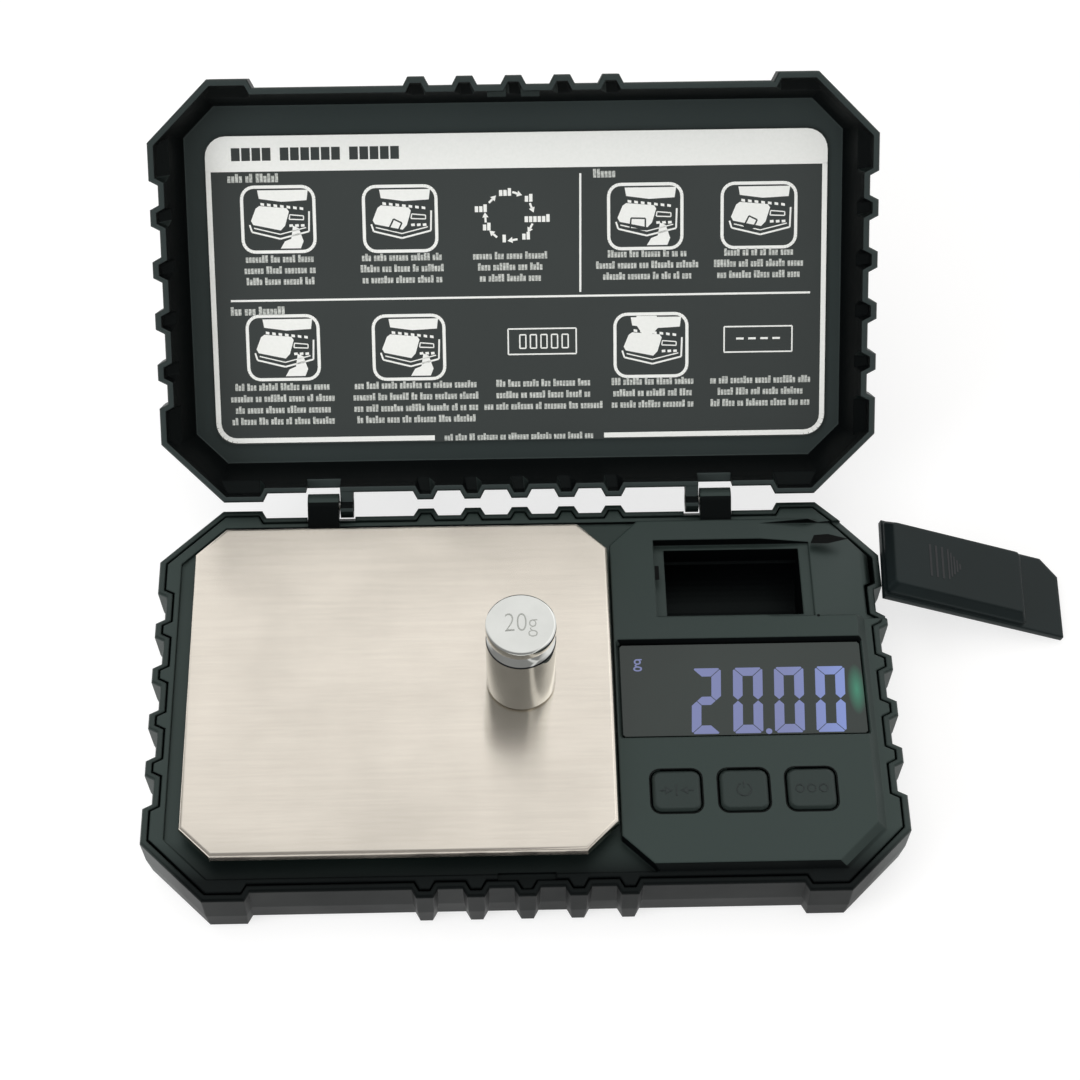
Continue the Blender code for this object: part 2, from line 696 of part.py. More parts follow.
def build_platform():
    """Steel pan over a plastic tray whose post stands on the load cell."""
    empty = axis_empty("platform_axis", (PLATFORM_MID_X, 0, PLATFORM_TOP))
    half_x = PLATFORM_X / 2
    half_y = PLATFORM_Y / 2

    def plan(inset):
        cut = PLATFORM_CUT - inset * (2 - math.sqrt(2))
        return cut_rectangle(half_x - inset, half_y - inset, cut)

    sheet = PLATFORM_SHEET
    bm = bmesh.new()
    loft(bm, [(plan(sheet), -sheet), (plan(sheet), -PLATFORM_SKIRT), (plan(0), -PLATFORM_SKIRT),
              (plan(0), -0.45), (plan(0.15), -0.12), (plan(0.5), 0)])
    solid("platform_pan", bm, STEEL, empty)

    tray_inset = sheet + GAP
    top = -sheet - GAP
    bm = bmesh.new()
    add_prism(bm, plan(tray_inset), top - TRAY_THICK, top)
    tray = solid("platform_tray", bm, BLACK_PLASTIC, empty)
    post = bmesh.new()
    x = (CELL_LENGTH - CELL_END) / 2
    low = CELL_UNDER + CELL_THICK + GAP - PLATFORM_TOP
    add_box(post, x - POST_X / 2, x + POST_X / 2, -POST_Y / 2, POST_Y / 2, low, top - 0.5)
    boolean(tray, "guide_tray_post", post, "UNION", empty)
    holes = bmesh.new()
    for place in cell_screw_places(fixed=False):
        local = place - PLATFORM_MID_X
        add_turned(holes, [(SCREW_R + GAP, low - 1), (SCREW_R + GAP, low + 4)], (local, 0, 0), 16)
    boolean(tray, "guide_tray_holes", holes, "DIFFERENCE", empty)

    head_top = CELL_UNDER - GAP
    for index, place in enumerate(cell_screw_places(fixed=False)):
        bm = bmesh.new()
        profile = [(HEAD_R - 0.2, head_top - 1.2), (HEAD_R - 0.2, head_top),
                   (SCREW_R, head_top), (SCREW_R, CELL_UNDER + CELL_THICK + 3.5)]
        profile = [(r, z - PLATFORM_TOP) for r, z in profile]
        add_turned(bm, profile, (place - PLATFORM_MID_X, 0, 0), 16)
        solid("tray_screw_%d" % (index + 1), bm, STEEL, empty, smooth=True)


def build_load_cell():
    """Aluminium beam with its strain-gauge window, seated on the bottom case."""
    low = CELL_UNDER
    high = CELL_UNDER + CELL_THICK
    bm = bmesh.new()
    half = CELL_LENGTH / 2
    add_box(bm, PLATFORM_MID_X - half, PLATFORM_MID_X + half, -CELL_WIDTH / 2, CELL_WIDTH / 2,
            low, high)
    beam = solid("load_cell", bm, ALUMINIUM)
    holes = bmesh.new()
    for place in cell_screw_places(True) + cell_screw_places(False):
        add_turned(holes, [(SCREW_HOLE_R, low - 1), (SCREW_HOLE_R, high + 1)], (place, 0, 0), 16)
    turn = Matrix.Rotation(math.radians(-90), 4, "X")
    for side in (-1, 1):
        place = (PLATFORM_MID_X + side * 4, -CELL_WIDTH, (low + high) / 2)
        add_turned(holes, [(2.0, 0), (2.0, 2 * CELL_WIDTH)], place, 20, turn)
    boolean(beam, "guide_cell_holes", holes, "DIFFERENCE")
    slot = bmesh.new()
    add_box(slot, PLATFORM_MID_X - 4, PLATFORM_MID_X + 4, -CELL_WIDTH, CELL_WIDTH,
            low + 2.2, high - 2.2)
    boolean(beam, "guide_cell_slot", slot, "DIFFERENCE")

    bm = bmesh.new()
    add_box(bm, PLATFORM_MID_X - 7, PLATFORM_MID_X + 7, -3.5, 3.5, high + GAP, high + GAP + 1.0)
    solid("gauge_sealant", bm, WHITE_PLASTIC)
    for index, place in enumerate(cell_screw_places(True)):
        bm = bmesh.new()
        profile = [(SCREW_R, FLOOR + GAP), (SCREW_R, high + GAP), (HEAD_R - 0.2, high + GAP),
                   (HEAD_R - 0.2, high + GAP + 1.2)]
        add_turned(bm, profile, (place, 0, 0), 16)
        solid("cell_screw_%d" % (index + 1), bm, STEEL, smooth=True)


def build_batteries():
    """Two AAA cells head to tail, their contacts and the door under them."""
    cell_z = DOOR_THICK + GAP + AAA_R
    shift = (SPRING_LENGTH - CONTACT_THICK) / 2
    for index in range(2):
        side = -1 if index == 0 else 1
        y = BAY_MID_Y + side * AAA_PITCH / 2
        bm = bmesh.new()
        nub = 1.0
        body = AAA_LENGTH - nub
        profile = [(AAA_R - 0.5, 0), (AAA_R, 0.4), (AAA_R, body - 0.4), (AAA_R - 0.5, body),
                   (1.9, body), (1.9, AAA_LENGTH)]
        turn = Matrix.Rotation(math.radians(90 * side), 4, "Y")
        start = BAY_MID_X + side * (shift - AAA_LENGTH / 2)
        add_turned(bm, profile, (start, y, cell_z), 24, turn)
        solid("aaa_cell_%d" % (index + 1), bm, CELL_JACKET, smooth=True)

        wall = BAY_MID_X - side * (BAY_X / 2 - GAP)
        inner = wall + side * CONTACT_THICK
        bm = bmesh.new()
        x0, x1 = sorted((wall, inner))
        add_box(bm, x0, x1, y - 4, y + 4, DOOR_THICK + 0.8, 10.8)
        solid("contact_spring_plate_%d" % (index + 1), bm, STEEL)
        gap_to_cell = abs(start - inner) - 2 * GAP
        bm = bmesh.new()
        profile = [(3.6, 0), (3.0, 0.4 * gap_to_cell), (2.2, 0.8 * gap_to_cell), (2.0, gap_to_cell)]
        add_turned(bm, profile, (inner + side * GAP, y, cell_z), 16, turn)
        solid("contact_spring_%d" % (index + 1), bm, STEEL, smooth=True)

        wall = BAY_MID_X + side * (BAY_X / 2 - GAP)
        inner = wall - side * CONTACT_THICK
        x0, x1 = sorted((wall, inner))
        bm = bmesh.new()
        add_box(bm, x0, x1, y - 4, y + 4, DOOR_THICK + 0.8, 10.8)
        nose = abs(inner - (start + side * AAA_LENGTH)) - GAP
        contact = solid("contact_plate_%d" % (index + 1), bm, STEEL)
        boss = bmesh.new()
        profile = [(1.5, -0.2), (1.5, nose)]
        back = Matrix.Rotation(math.radians(-90 * side), 4, "Y")
        add_turned(boss, profile, (inner, y, cell_z), 16, back)
        boolean(contact, "guide_contact_boss_%d" % (index + 1), boss, "UNION")

    half_x = BAY_X / 2 - GAP
    half_y = AAA_PITCH / 2 + AAA_R + 0.5 - GAP
    empty = axis_empty("battery_door_axis", (BAY_MID_X - half_x, BAY_MID_Y, 0))
    bm = bmesh.new()
    add_box(bm, 0, 2 * half_x, -half_y, half_y, 0, DOOR_THICK)
    door = solid("battery_door", bm, CASE_PLASTIC, empty)
    grooves = bmesh.new()
    for index in range(4):
        x = 2 * half_x - 4 - 1.6 * index
        add_box(grooves, x, x + 0.7, -6, 6, -1, 0.4)
    boolean(door, "guide_door_grooves", grooves, "DIFFERENCE", empty)


def build_feet_and_screws():
    for index, (x, y) in enumerate(corner_places(FOOT_X, FOOT_Y)):
        bm = bmesh.new()
        add_turned(bm, [(FOOT_R - 0.2, 0), (FOOT_R, 0.2), (FOOT_R, FOOT_THICK)], (x, y, 0), 32)
        solid("foot_%d" % (index + 1), bm, RUBBER, smooth=True)
    for index, (x, y) in enumerate(corner_places(BOSS_X, BOSS_Y)):
        low = 1.2 - GAP
        bm = bmesh.new()
        profile = [(HEAD_R - 0.3, low), (HEAD_R, low + 0.4), (HEAD_R, low + HEAD_THICK),
                   (SCREW_R, low + HEAD_THICK), (SCREW_R, DECK_UNDER - GAP)]
        add_turned(bm, profile, (x, y, 0), 20)
        solid("case_screw_%d" % (index + 1), bm, STEEL, smooth=True)


def lead(name, points, radius, look):
    """A thin insulated wire along a smooth line through a few points."""
    curve = bpy.data.curves.new(name, "CURVE")
    curve.dimensions = "3D"
    curve.bevel_depth = radius * MM
    curve.bevel_resolution = 2
    curve.use_fill_caps = True
    smooth = []
    ends = [points[0]] + points + [points[-1]]
    for i in range(1, len(ends) - 2):
        p0, p1, p2, p3 = (Vector(p) for p in ends[i - 1:i + 3])
        for step in range(6):
            t = step / 6
            a = 2 * p1 + (p2 - p0) * t
            b = (2 * p0 - 5 * p1 + 4 * p2 - p3) * t * t
            c = (3 * p1 - p0 - 3 * p2 + p3) * t * t * t
            smooth.append((a + b + c) / 2)
    smooth.append(Vector(points[-1]))
    spline = curve.splines.new("POLY")
    spline.points.add(len(smooth) - 1)
    for point, place in zip(spline.points, smooth):
        point.co = (*(place * MM), 1.0)
    made = bpy.data.objects.new(name, curve)
    made.data.materials.append(material(name, *look))
    bpy.context.scene.collection.objects.link(made)


def build_leads():
    board_x = PANEL_X0 + 1.0
    under = BOARD_TOP - BOARD_THICK / 2
    gauge = PLATFORM_MID_X + 7 + GAP
    seal_z = CELL_UNDER + CELL_THICK + GAP + 0.6
    post = PLATFORM_MID_X + CELL_LENGTH / 2
    lead("gauge_lead", [(gauge, 2.6, seal_z), (gauge + 3, 5.4, seal_z), (post - 6, 6.6, 8.0),
                        (post + 6, 6.0, 7.5), (board_x - 0.9, 6.0, under)], 0.5, WHITE_PLASTIC)
    bay = BAY_MID_X + BAY_X / 2 + BAY_WALL + 0.9
    y0 = BAY_MID_Y - AAA_PITCH / 2
    y1 = BAY_MID_Y + AAA_PITCH / 2
    lead("battery_lead_red", [(bay, y0, 10.0), (bay + 2, y0, 8.5), (bay + 5, y0 + 1, 8.8),
                              (board_x - 0.9, y0 + 1, under)], 0.5, RED_PVC)
    lead("battery_lead_black", [(bay, y1, 10.0), (bay + 2, y1, 8.5), (bay + 5, y1 + 1, 8.8),
                                (board_x - 0.9, y1 + 1, under)], 0.5, RUBBER)


def build_lid():
    """Lid shell, modelled shut and then turned open about the hinge."""
    turn = Matrix.Rotation(math.radians(-LID_OPEN_DEG), 4, "X")
    empty = axis_empty("lid_axis", (0, HINGE_Y, HINGE_Z), turn)
    shut = Matrix.Translation((0, -HINGE_Y, -HINGE_Z))
    half_x = HALF_X - LID_STEP
    half_y = (LID_BACK_Y - LID_FRONT_Y) / 2
    middle = Matrix.Translation((0, (LID_BACK_Y + LID_FRONT_Y) / 2, 0))
    rim = SEAM_Z + GAP
    bm = bmesh.new()
    floor_inset = LID_FLOOR_INSET
    loft(bm, shell_rings(half_x, half_y, [
        (LID_TOP, UNDERCUT, 1), (LID_TOP - 2.0, 1.0, 1), (LID_TOP - 6.0, 0.3, 1),
        (rim + 0.4, 0, 1), (rim, 0.3, 1), (rim, LID_WALL, 1), (rim + 2.0, LID_WALL + 0.3, 1),
        (rim + 4.0, LID_WALL + 0.8, 0), (LID_FLOOR_Z, floor_inset, 0),
    ]))
    bm.transform(shut @ middle)
    lid = solid("lid_shell", bm, CASE_PLASTIC, empty)

    knuckles = bmesh.new()
    wall_y = LID_BACK_Y - RELIEF - LID_WALL
    points = arm_profile(wall_y, rim, rim + 6.0, [(HINGE_Y - 1.0, rim + GAP)])
    for side in (-1, 1):
        x0, x1 = sorted((side * (ARM_X0 - GAP), side * (ARM_X0 - GAP - KNUCKLE_WIDTH)))
        add_side_prism(knuckles, points, x0, x1)
    knuckles.transform(shut)
    boolean(lid, "guide_knuckles", knuckles, "UNION", empty)

    tabs = bmesh.new()
    front = LID_FRONT_Y + RELIEF
    for side in (-1, 1):
        x = side * LATCH_TAB_X
        reach = LID_WALL + LATCH_TAB_DEPTH
        profile = [(front + 0.6, rim + 0.5), (front + reach, rim + 1.0),
                   (front + reach, rim + 1.8), (front + 0.6, rim + 3.2)]
        add_side_prism(tabs, profile, x - LATCH_TAB_HALF, x + LATCH_TAB_HALF)
    tabs.transform(shut)
    boolean(lid, "guide_latch_tabs", tabs, "UNION", empty)

    slots = bmesh.new()
    for side in (-1, 1):
        x0, x1 = sorted((side * (ARM_X0 - GAP + 0.01), side * (ARM_X1 + GAP)))
        add_box(slots, x0, x1, LID_BACK_Y - 8, LID_BACK_Y + 3, rim - 1, HINGE_Z + BARREL_R + GAP)
    slots.transform(shut)
    boolean(lid, "guide_lid_slots", slots, "DIFFERENCE", empty)
    bores = bmesh.new()
    reach = ARM_X0 - GAP - KNUCKLE_WIDTH - 1
    pinhole(bores, -ARM_X0, -reach)
    pinhole(bores, reach, ARM_X0)
    bores.transform(shut)
    boolean(lid, "guide_knuckle_bores", bores, "DIFFERENCE", empty)

    bm = bmesh.new()
    outline = round_rectangle(LABEL_X / 2, LABEL_Y / 2, LABEL_RADIUS)
    outline = moved(outline, LABEL_MID_X, LABEL_MID_Y)
    add_prism(bm, outline, LID_FLOOR_Z - GAP - LABEL_THICK, LID_FLOOR_Z - GAP)
    bm.transform(shut)
    solid("lid_label", bm, BLACK_PLASTIC, empty)


def build_hinge_pins():
    for side, name in ((-1, "hinge_pin_left"), (1, "hinge_pin_right")):
        x0 = ARM_X0 - GAP - KNUCKLE_WIDTH + 0.3
        x1 = ARM_X1 - 0.3
        start = x0 if side > 0 else -x1
        bm = bmesh.new()
        profile = [(PIN_R - 0.2, 0), (PIN_R, 0.2), (PIN_R, x1 - x0 - 0.2), (PIN_R - 0.2, x1 - x0)]
        add_turned(bm, profile, (start, HINGE_Y, HINGE_Z), 16, ALONG_X)
        solid(name, bm, STEEL, smooth=True)


def build_weight():
    """Twenty-gram check weight: a cylinder with a knob and a grip groove."""
    bottom = PLATFORM_TOP + GAP
    empty = axis_empty("weight_axis", (WEIGHT_X, WEIGHT_Y, bottom))
    bm = bmesh.new()
    r = WEIGHT_R
    h = WEIGHT_H
    profile = [(r - 0.5, 0), (r, 0.5), (r, h - 5.2), (r - 0.3, h - 4.6), (r - 1.6, h - 3.6),
               (r - 1.6, h - 2.8), (r - 0.3, h - 2.0), (r, h - 1.6), (r, h - 0.3), (r - 0.3, h)]
    add_turned(bm, profile, (0, 0, 0), 48)
    solid("check_weight", bm, CHROME, empty, smooth=True)


def build_storage_cover():
    """Sliding cover of the weight's well, modelled shut and then swung out."""
    axis = Vector(COVER_SWING_DIR).normalized()
    turn = Matrix.Rotation(math.radians(COVER_SWING_DEG), 4, axis)
    point = Vector(COVER_SWING_POINT)
    empty = axis_empty("storage_cover_axis", point, turn)
    shut = Matrix.Translation(-point)
    x0 = COVER_LEFT
    x1 = x0 + COVER_X
    y0 = WELL_MID_Y + 0.3 - COVER_Y / 2
    y1 = y0 + COVER_Y
    plate = [(x0, y0), (x1, y0), (x1, y1 - COVER_CUT), (x1 - COVER_CUT, y1), (x0, y1)]
    bm = bmesh.new()
    add_prism(bm, plate, COVER_Z, COVER_Z + COVER_PLATE)
    bm.transform(shut)
    cover = solid("storage_cover", bm, BLACK_PLASTIC, empty)

    block = bmesh.new()
    low = COVER_Z + COVER_PLATE
    mid_x = x0 + 0.2 + BLOCK_X / 2
    mid_y = (y0 + y1) / 2
    base = moved(round_rectangle(BLOCK_X / 2, BLOCK_Y / 2, 0.8, 3), mid_x, mid_y)
    crown = moved(round_rectangle(BLOCK_X / 2 - BLOCK_SLOPE, BLOCK_Y / 2 - BLOCK_SLOPE, 0.8, 3),
                  mid_x, mid_y)
    loft(block, [(base, low - 0.4), (base, low + 0.8), (crown, low + BLOCK_H)])
    block.transform(shut)
    boolean(cover, "guide_cover_block", block, "UNION", empty)

    hollow = bmesh.new()
    add_box(hollow, x0 + 0.2 + BLOCK_SLOPE + 1.2, mid_x + BLOCK_X / 2 - 2.4, mid_y - 6.2,
            mid_y + 6.2, COVER_Z - 1, low + BLOCK_H - 1.2)
    hollow.transform(shut)
    boolean(cover, "guide_cover_hollow", hollow, "DIFFERENCE", empty)


remove_all_objects()
build_bottom_case()
build_top_case()
build_display_and_board()
build_buttons()
build_platform()
build_load_cell()
build_batteries()
build_feet_and_screws()
build_leads()
build_lid()
build_hinge_pins()
build_weight()
build_storage_cover()
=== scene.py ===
import json
import math
import random

import bmesh
import bpy
from mathutils import Euler, Matrix, Vector

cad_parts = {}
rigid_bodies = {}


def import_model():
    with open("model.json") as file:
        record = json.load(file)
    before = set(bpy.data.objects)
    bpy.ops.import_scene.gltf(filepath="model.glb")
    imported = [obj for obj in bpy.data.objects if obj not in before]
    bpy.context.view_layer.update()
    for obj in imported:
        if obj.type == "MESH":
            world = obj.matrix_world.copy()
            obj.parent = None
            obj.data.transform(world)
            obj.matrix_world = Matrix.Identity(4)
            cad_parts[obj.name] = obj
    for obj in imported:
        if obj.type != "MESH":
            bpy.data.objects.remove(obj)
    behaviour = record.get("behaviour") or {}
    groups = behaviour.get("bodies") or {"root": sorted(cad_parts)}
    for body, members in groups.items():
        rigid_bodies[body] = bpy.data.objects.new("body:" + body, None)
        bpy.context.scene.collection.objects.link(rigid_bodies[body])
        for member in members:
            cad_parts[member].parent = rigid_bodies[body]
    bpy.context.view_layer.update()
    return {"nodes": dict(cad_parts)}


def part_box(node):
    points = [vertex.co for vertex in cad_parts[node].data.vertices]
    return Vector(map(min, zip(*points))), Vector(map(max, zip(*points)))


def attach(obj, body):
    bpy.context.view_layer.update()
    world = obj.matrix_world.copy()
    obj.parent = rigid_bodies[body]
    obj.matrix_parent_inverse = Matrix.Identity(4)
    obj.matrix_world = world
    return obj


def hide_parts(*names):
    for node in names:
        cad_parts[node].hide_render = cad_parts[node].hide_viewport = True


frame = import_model()

for old in list(bpy.data.objects):
    if old.type in {"LIGHT", "CAMERA"}:
        bpy.data.objects.remove(old)


# Table and studio. The scale stands on a white table in a white tent, under a broad
# softbox, and is seen from the front and well above.
MM = 0.001
CAMERA_PLACE = (-3.19, -239.08, 427.08)
CAMERA_TURN = (0.584557, -0.002728, -0.021755)
LENS = 83.95
TABLE_SIZE = 3.0
TABLE_DROP = 0.1 * MM


def linear(hex_colour):
    """An sRGB hex colour as linear red, green, blue and alpha."""
    parts = [int(hex_colour[start:start + 2], 16) / 255 for start in (1, 3, 5)]
    return [p / 12.92 if p <= 0.04045 else ((p + 0.055) / 1.055) ** 2.4 for p in parts] + [1]


def add_node(tree, kind, inputs=None, **settings):
    """Adds a node. inputs maps a socket to a value or to the socket that feeds it."""
    made = tree.nodes.new(kind)
    for key, value in settings.items():
        setattr(made, key, value)
    for key, value in (inputs or {}).items():
        if isinstance(value, bpy.types.NodeSocket):
            tree.links.new(value, made.inputs[key])
        else:
            made.inputs[key].default_value = value
    return made


def new_material(name):
    """An empty material and its node tree."""
    made = bpy.data.materials.new(name)
    made.use_nodes = True
    made.node_tree.nodes.clear()
    return made, made.node_tree


def end_material(tree, shader):
    """Ends a material with its shader."""
    add_node(tree, "ShaderNodeOutputMaterial", {"Surface": shader.outputs[0]})


scene = bpy.context.scene
scene.view_settings.view_transform = "Standard"

camera = bpy.data.objects.new("studio_camera", bpy.data.cameras.new("studio_camera"))
camera.location = Vector(CAMERA_PLACE) * MM
camera.rotation_euler = Euler(CAMERA_TURN)
camera.data.sensor_width = 36
camera.data.lens = LENS
camera.data.clip_start = 10 * MM
scene.collection.objects.link(camera)
scene.camera = camera

# The tent is plain white to the camera and a soft fill on the scale. Gloss sees it darker at
# the front and brighter at the back, with one bright upright panel on the right.
FILL = 0.5
FRONT_GLOW = 0.30
BACK_GLOW = 1.12
PANEL_GLOW = 0.6
world = bpy.data.worlds.new("white_tent")
scene.world = world
world.use_nodes = True
tent = world.node_tree
tent.nodes.clear()
ray = add_node(tent, "ShaderNodeLightPath")
direct = add_node(tent, "ShaderNodeMath", {0: ray.outputs["Is Camera Ray"],
                                           1: ray.outputs["Is Transmission Ray"]}, operation="MAXIMUM")
way = add_node(tent, "ShaderNodeTexCoord")
part = add_node(tent, "ShaderNodeSeparateXYZ", {0: way.outputs["Generated"]})
lean = add_node(tent, "ShaderNodeMath", {0: part.outputs["X"], 1: 0.35, 2: part.outputs["Y"]},
                operation="MULTIPLY_ADD")
wall = add_node(tent, "ShaderNodeMapRange", {0: lean.outputs[0], 1: -0.12, 2: 0.28,
                                             3: FRONT_GLOW, 4: BACK_GLOW})
panel_left = add_node(tent, "ShaderNodeMapRange", {0: part.outputs["X"], 1: 0.30, 2: 0.36,
                                                   3: 0.0, 4: PANEL_GLOW})
panel_right = add_node(tent, "ShaderNodeMapRange", {0: part.outputs["X"], 1: 0.44, 2: 0.48,
                                                    3: 1.0, 4: 0.0})
inside = add_node(tent, "ShaderNodeMath", {0: panel_left.outputs[0], 1: panel_right.outputs[0],
                                           2: wall.outputs[0]}, operation="MULTIPLY_ADD")
indirect = add_node(tent, "ShaderNodeMix", {"Factor": ray.outputs["Is Glossy Ray"], 2: FILL,
                                            3: inside.outputs[0]})
level = add_node(tent, "ShaderNodeMix", {"Factor": direct.outputs[0], 2: indirect.outputs[0], 3: 1.0})
glow = add_node(tent, "ShaderNodeBackground", {"Color": linear("#FFFFFF"), "Strength": level.outputs[0]})
add_node(tent, "ShaderNodeOutputWorld", {"Surface": glow.outputs[0]})


def softbox(name, place, aim, width, depth, power, colour):
    """A soft lamp turned to its aim, which doesn't show in gloss."""
    lamp = bpy.data.lights.new(name, "AREA")
    lamp.shape = "RECTANGLE"
    lamp.size = width
    lamp.size_y = depth
    lamp.energy = power
    lamp.color = linear(colour)[:3]
    made = bpy.data.objects.new(name, lamp)
    made.visible_glossy = False
    made.location = place
    made.rotation_euler = (Vector(aim) - Vector(place)).to_track_quat("-Z", "Y").to_euler()
    scene.collection.objects.link(made)


softbox("softbox_above", (-0.1, 0.0, 1.0), (0, 0.02, 0), 1.2, 1.0, 4.4, "#FFFBF5")
softbox("softbox_left", (-0.75, -0.5, 0.5), (0, 0.04, 0.02), 0.5, 0.5, 4.6, "#FBFDFF")

bm = bmesh.new()
bmesh.ops.create_grid(bm, x_segments=1, y_segments=1, size=TABLE_SIZE)
bmesh.ops.translate(bm, verts=bm.verts[:], vec=(0, 0, -TABLE_DROP))
table_mesh = bpy.data.meshes.new("white_table")
bm.to_mesh(table_mesh)
bm.free()
table = bpy.data.objects.new("white_table", table_mesh)
scene.collection.objects.link(table)
# Painted board: matt, so that it keeps the scale's soft shadow, and lit from itself to white.
# It is clear from below, so that the underside of the scale can be seen through it.
TABLE_LIFT = 0.72
white, tree = new_material("painted_white_table")
ray = add_node(tree, "ShaderNodeLightPath")
direct = add_node(tree, "ShaderNodeMath", {0: ray.outputs["Is Camera Ray"],
                                           1: ray.outputs["Is Glossy Ray"]}, operation="MAXIMUM")
lift = add_node(tree, "ShaderNodeMath", {0: direct.outputs[0], 1: TABLE_LIFT}, operation="MULTIPLY")
matt = add_node(tree, "ShaderNodeBsdfDiffuse", {"Color": linear("#A6A6A6")})
glow = add_node(tree, "ShaderNodeEmission", {"Color": linear("#FFFFFF"), "Strength": lift.outputs[0]})
board = add_node(tree, "ShaderNodeAddShader", {0: matt.outputs[0], 1: glow.outputs[0]})
below = add_node(tree, "ShaderNodeNewGeometry").outputs["Backfacing"]
clear = add_node(tree, "ShaderNodeBsdfTransparent")
either = add_node(tree, "ShaderNodeMixShader", {0: below, 1: board.outputs[0], 2: clear.outputs[0]})
end_material(tree, either)
table.data.materials.append(white)
table.visible_diffuse = False
table.visible_shadow = False


# Case, lid, hinge arms, battery door and button caps: injection-moulded ABS, dark grey
# with a green cast. A fine spark-eroded grain keeps it satin, and its edges are slightly
# rounded, so they catch the light.
LID_ANGLE = 133
HINGE = (0, 42.0, 15.6)
LID_MIDDLE = (0, -0.28, 20.6)
WELL_LOW = (27.5, 16.0, 1.0)
WELL_HIGH = (55.0, 31.7, 13.4)
RIM_START = -30.0
RIM_END = -38.5
SHADED_GLOSS = 0.12

hinge = Vector(HINGE) * MM
lid_turn = (Matrix.Translation(hinge) @ Matrix.Rotation(math.radians(-LID_ANGLE), 4, "X")
            @ Matrix.Translation(-hinge))


def moulded_plastic(name, colour, worn, roughness, grain_mm=0.35, edge_mm=0.55, bump=0.12,
                    sheen=0.5):
    """A plastic or rubber moulding: fine grain, faint clouding and softened edges."""
    made, tree = new_material(name)
    place = add_node(tree, "ShaderNodeTexCoord").outputs["Object"]
    grain = add_node(tree, "ShaderNodeTexNoise", {"Vector": place, "Scale": 1 / (grain_mm * MM),
                                                  "Detail": 2.0, "Roughness": 0.6})
    cloud = add_node(tree, "ShaderNodeTexNoise", {"Vector": place, "Scale": 1 / (22 * MM),
                                                  "Detail": 3.0, "Roughness": 0.55})
    spread = add_node(tree, "ShaderNodeMapRange", {0: cloud.outputs["Fac"], 1: 0.35, 2: 0.7})
    tint = add_node(tree, "ShaderNodeMix", {"Factor": spread.outputs[0], 6: linear(colour),
                                            7: linear(worn)}, data_type="RGBA")
    rough = add_node(tree, "ShaderNodeMapRange", {0: cloud.outputs["Fac"], 1: 0.3, 2: 0.7,
                                                  3: roughness - 0.05, 4: roughness + 0.06})
    edge = add_node(tree, "ShaderNodeBevel", {"Radius": edge_mm * MM}, samples=6)
    relief = add_node(tree, "ShaderNodeBump", {"Height": grain.outputs["Fac"], "Strength": bump,
                                               "Distance": 0.05 * MM, "Normal": edge.outputs[0]})
    shader = add_node(tree, "ShaderNodeBsdfPrincipled", {
        "Base Color": tint.outputs[2], "Roughness": rough.outputs[0], "IOR": 1.53,
        "Specular IOR Level": sheen,
        "Specular Tint": (0.84, 1.0, 0.96, 1.0), "Normal": relief.outputs[0]})
    end_material(tree, shader)
    return made


def dress(node, finish):
    """Gives a node of the frame its finish."""
    mesh = frame["nodes"][node].data
    mesh.materials.clear()
    mesh.materials.append(finish)


def paint_shade(finish, mask):
    """Paints shade: turns the masked part of a finish nearly black and less glossy, where shade falls."""
    tree = finish.node_tree
    shader = next(n for n in tree.nodes if n.type == "BSDF_PRINCIPLED")
    tint = shader.inputs["Base Color"].links[0].from_socket
    # Painted shade: the masked part is mixed to near black.
    dark = add_node(tree, "ShaderNodeMix", {"Factor": mask, 6: tint, 7: linear("#040506")},
                    data_type="RGBA")
    tree.links.new(dark.outputs[2], shader.inputs["Base Color"])
    level = shader.inputs["Specular IOR Level"]
    own_gloss = level.links[0].from_socket if level.links else level.default_value
    gloss = add_node(tree, "ShaderNodeMix", {"Factor": mask, 2: own_gloss, 3: SHADED_GLOSS})
    tree.links.new(gloss.outputs[0], level)


def paint_shade_in_box(finish, low, high):
    """Paints shade on what lies inside a box, given in millimetres."""
    tree = finish.node_tree
    place = add_node(tree, "ShaderNodeTexCoord").outputs["Object"]
    part = add_node(tree, "ShaderNodeSeparateXYZ", {0: place})
    mask = 1.0
    for axis, a, b in zip("XYZ", low, high):
        inside = add_node(tree, "ShaderNodeMath", {0: part.outputs[axis], 1: (a + b) / 2 * MM,
                                                   2: (b - a) / 2 * MM}, operation="COMPARE")
        mask = add_node(tree, "ShaderNodeMath", {0: inside.outputs[0], 1: mask},
                        operation="MULTIPLY").outputs[0]
    paint_shade(finish, mask)


def paint_front_rim_shade(finish, height):
    """Paints shade on the front rim below a height in millimetres, fading in towards the front."""
    tree = finish.node_tree
    place = add_node(tree, "ShaderNodeTexCoord").outputs["Object"]
    part = add_node(tree, "ShaderNodeSeparateXYZ", {0: place})
    depth = add_node(tree, "ShaderNodeMapRange", {0: part.outputs["Y"], 1: RIM_START * MM,
                                                  2: RIM_END * MM})
    below = add_node(tree, "ShaderNodeMath", {0: part.outputs["Z"], 1: height * MM},
                     operation="LESS_THAN")
    mask = add_node(tree, "ShaderNodeMath", {0: depth.outputs[0], 1: below.outputs[0]},
                    operation="MULTIPLY")
    paint_shade(finish, mask.outputs[0])


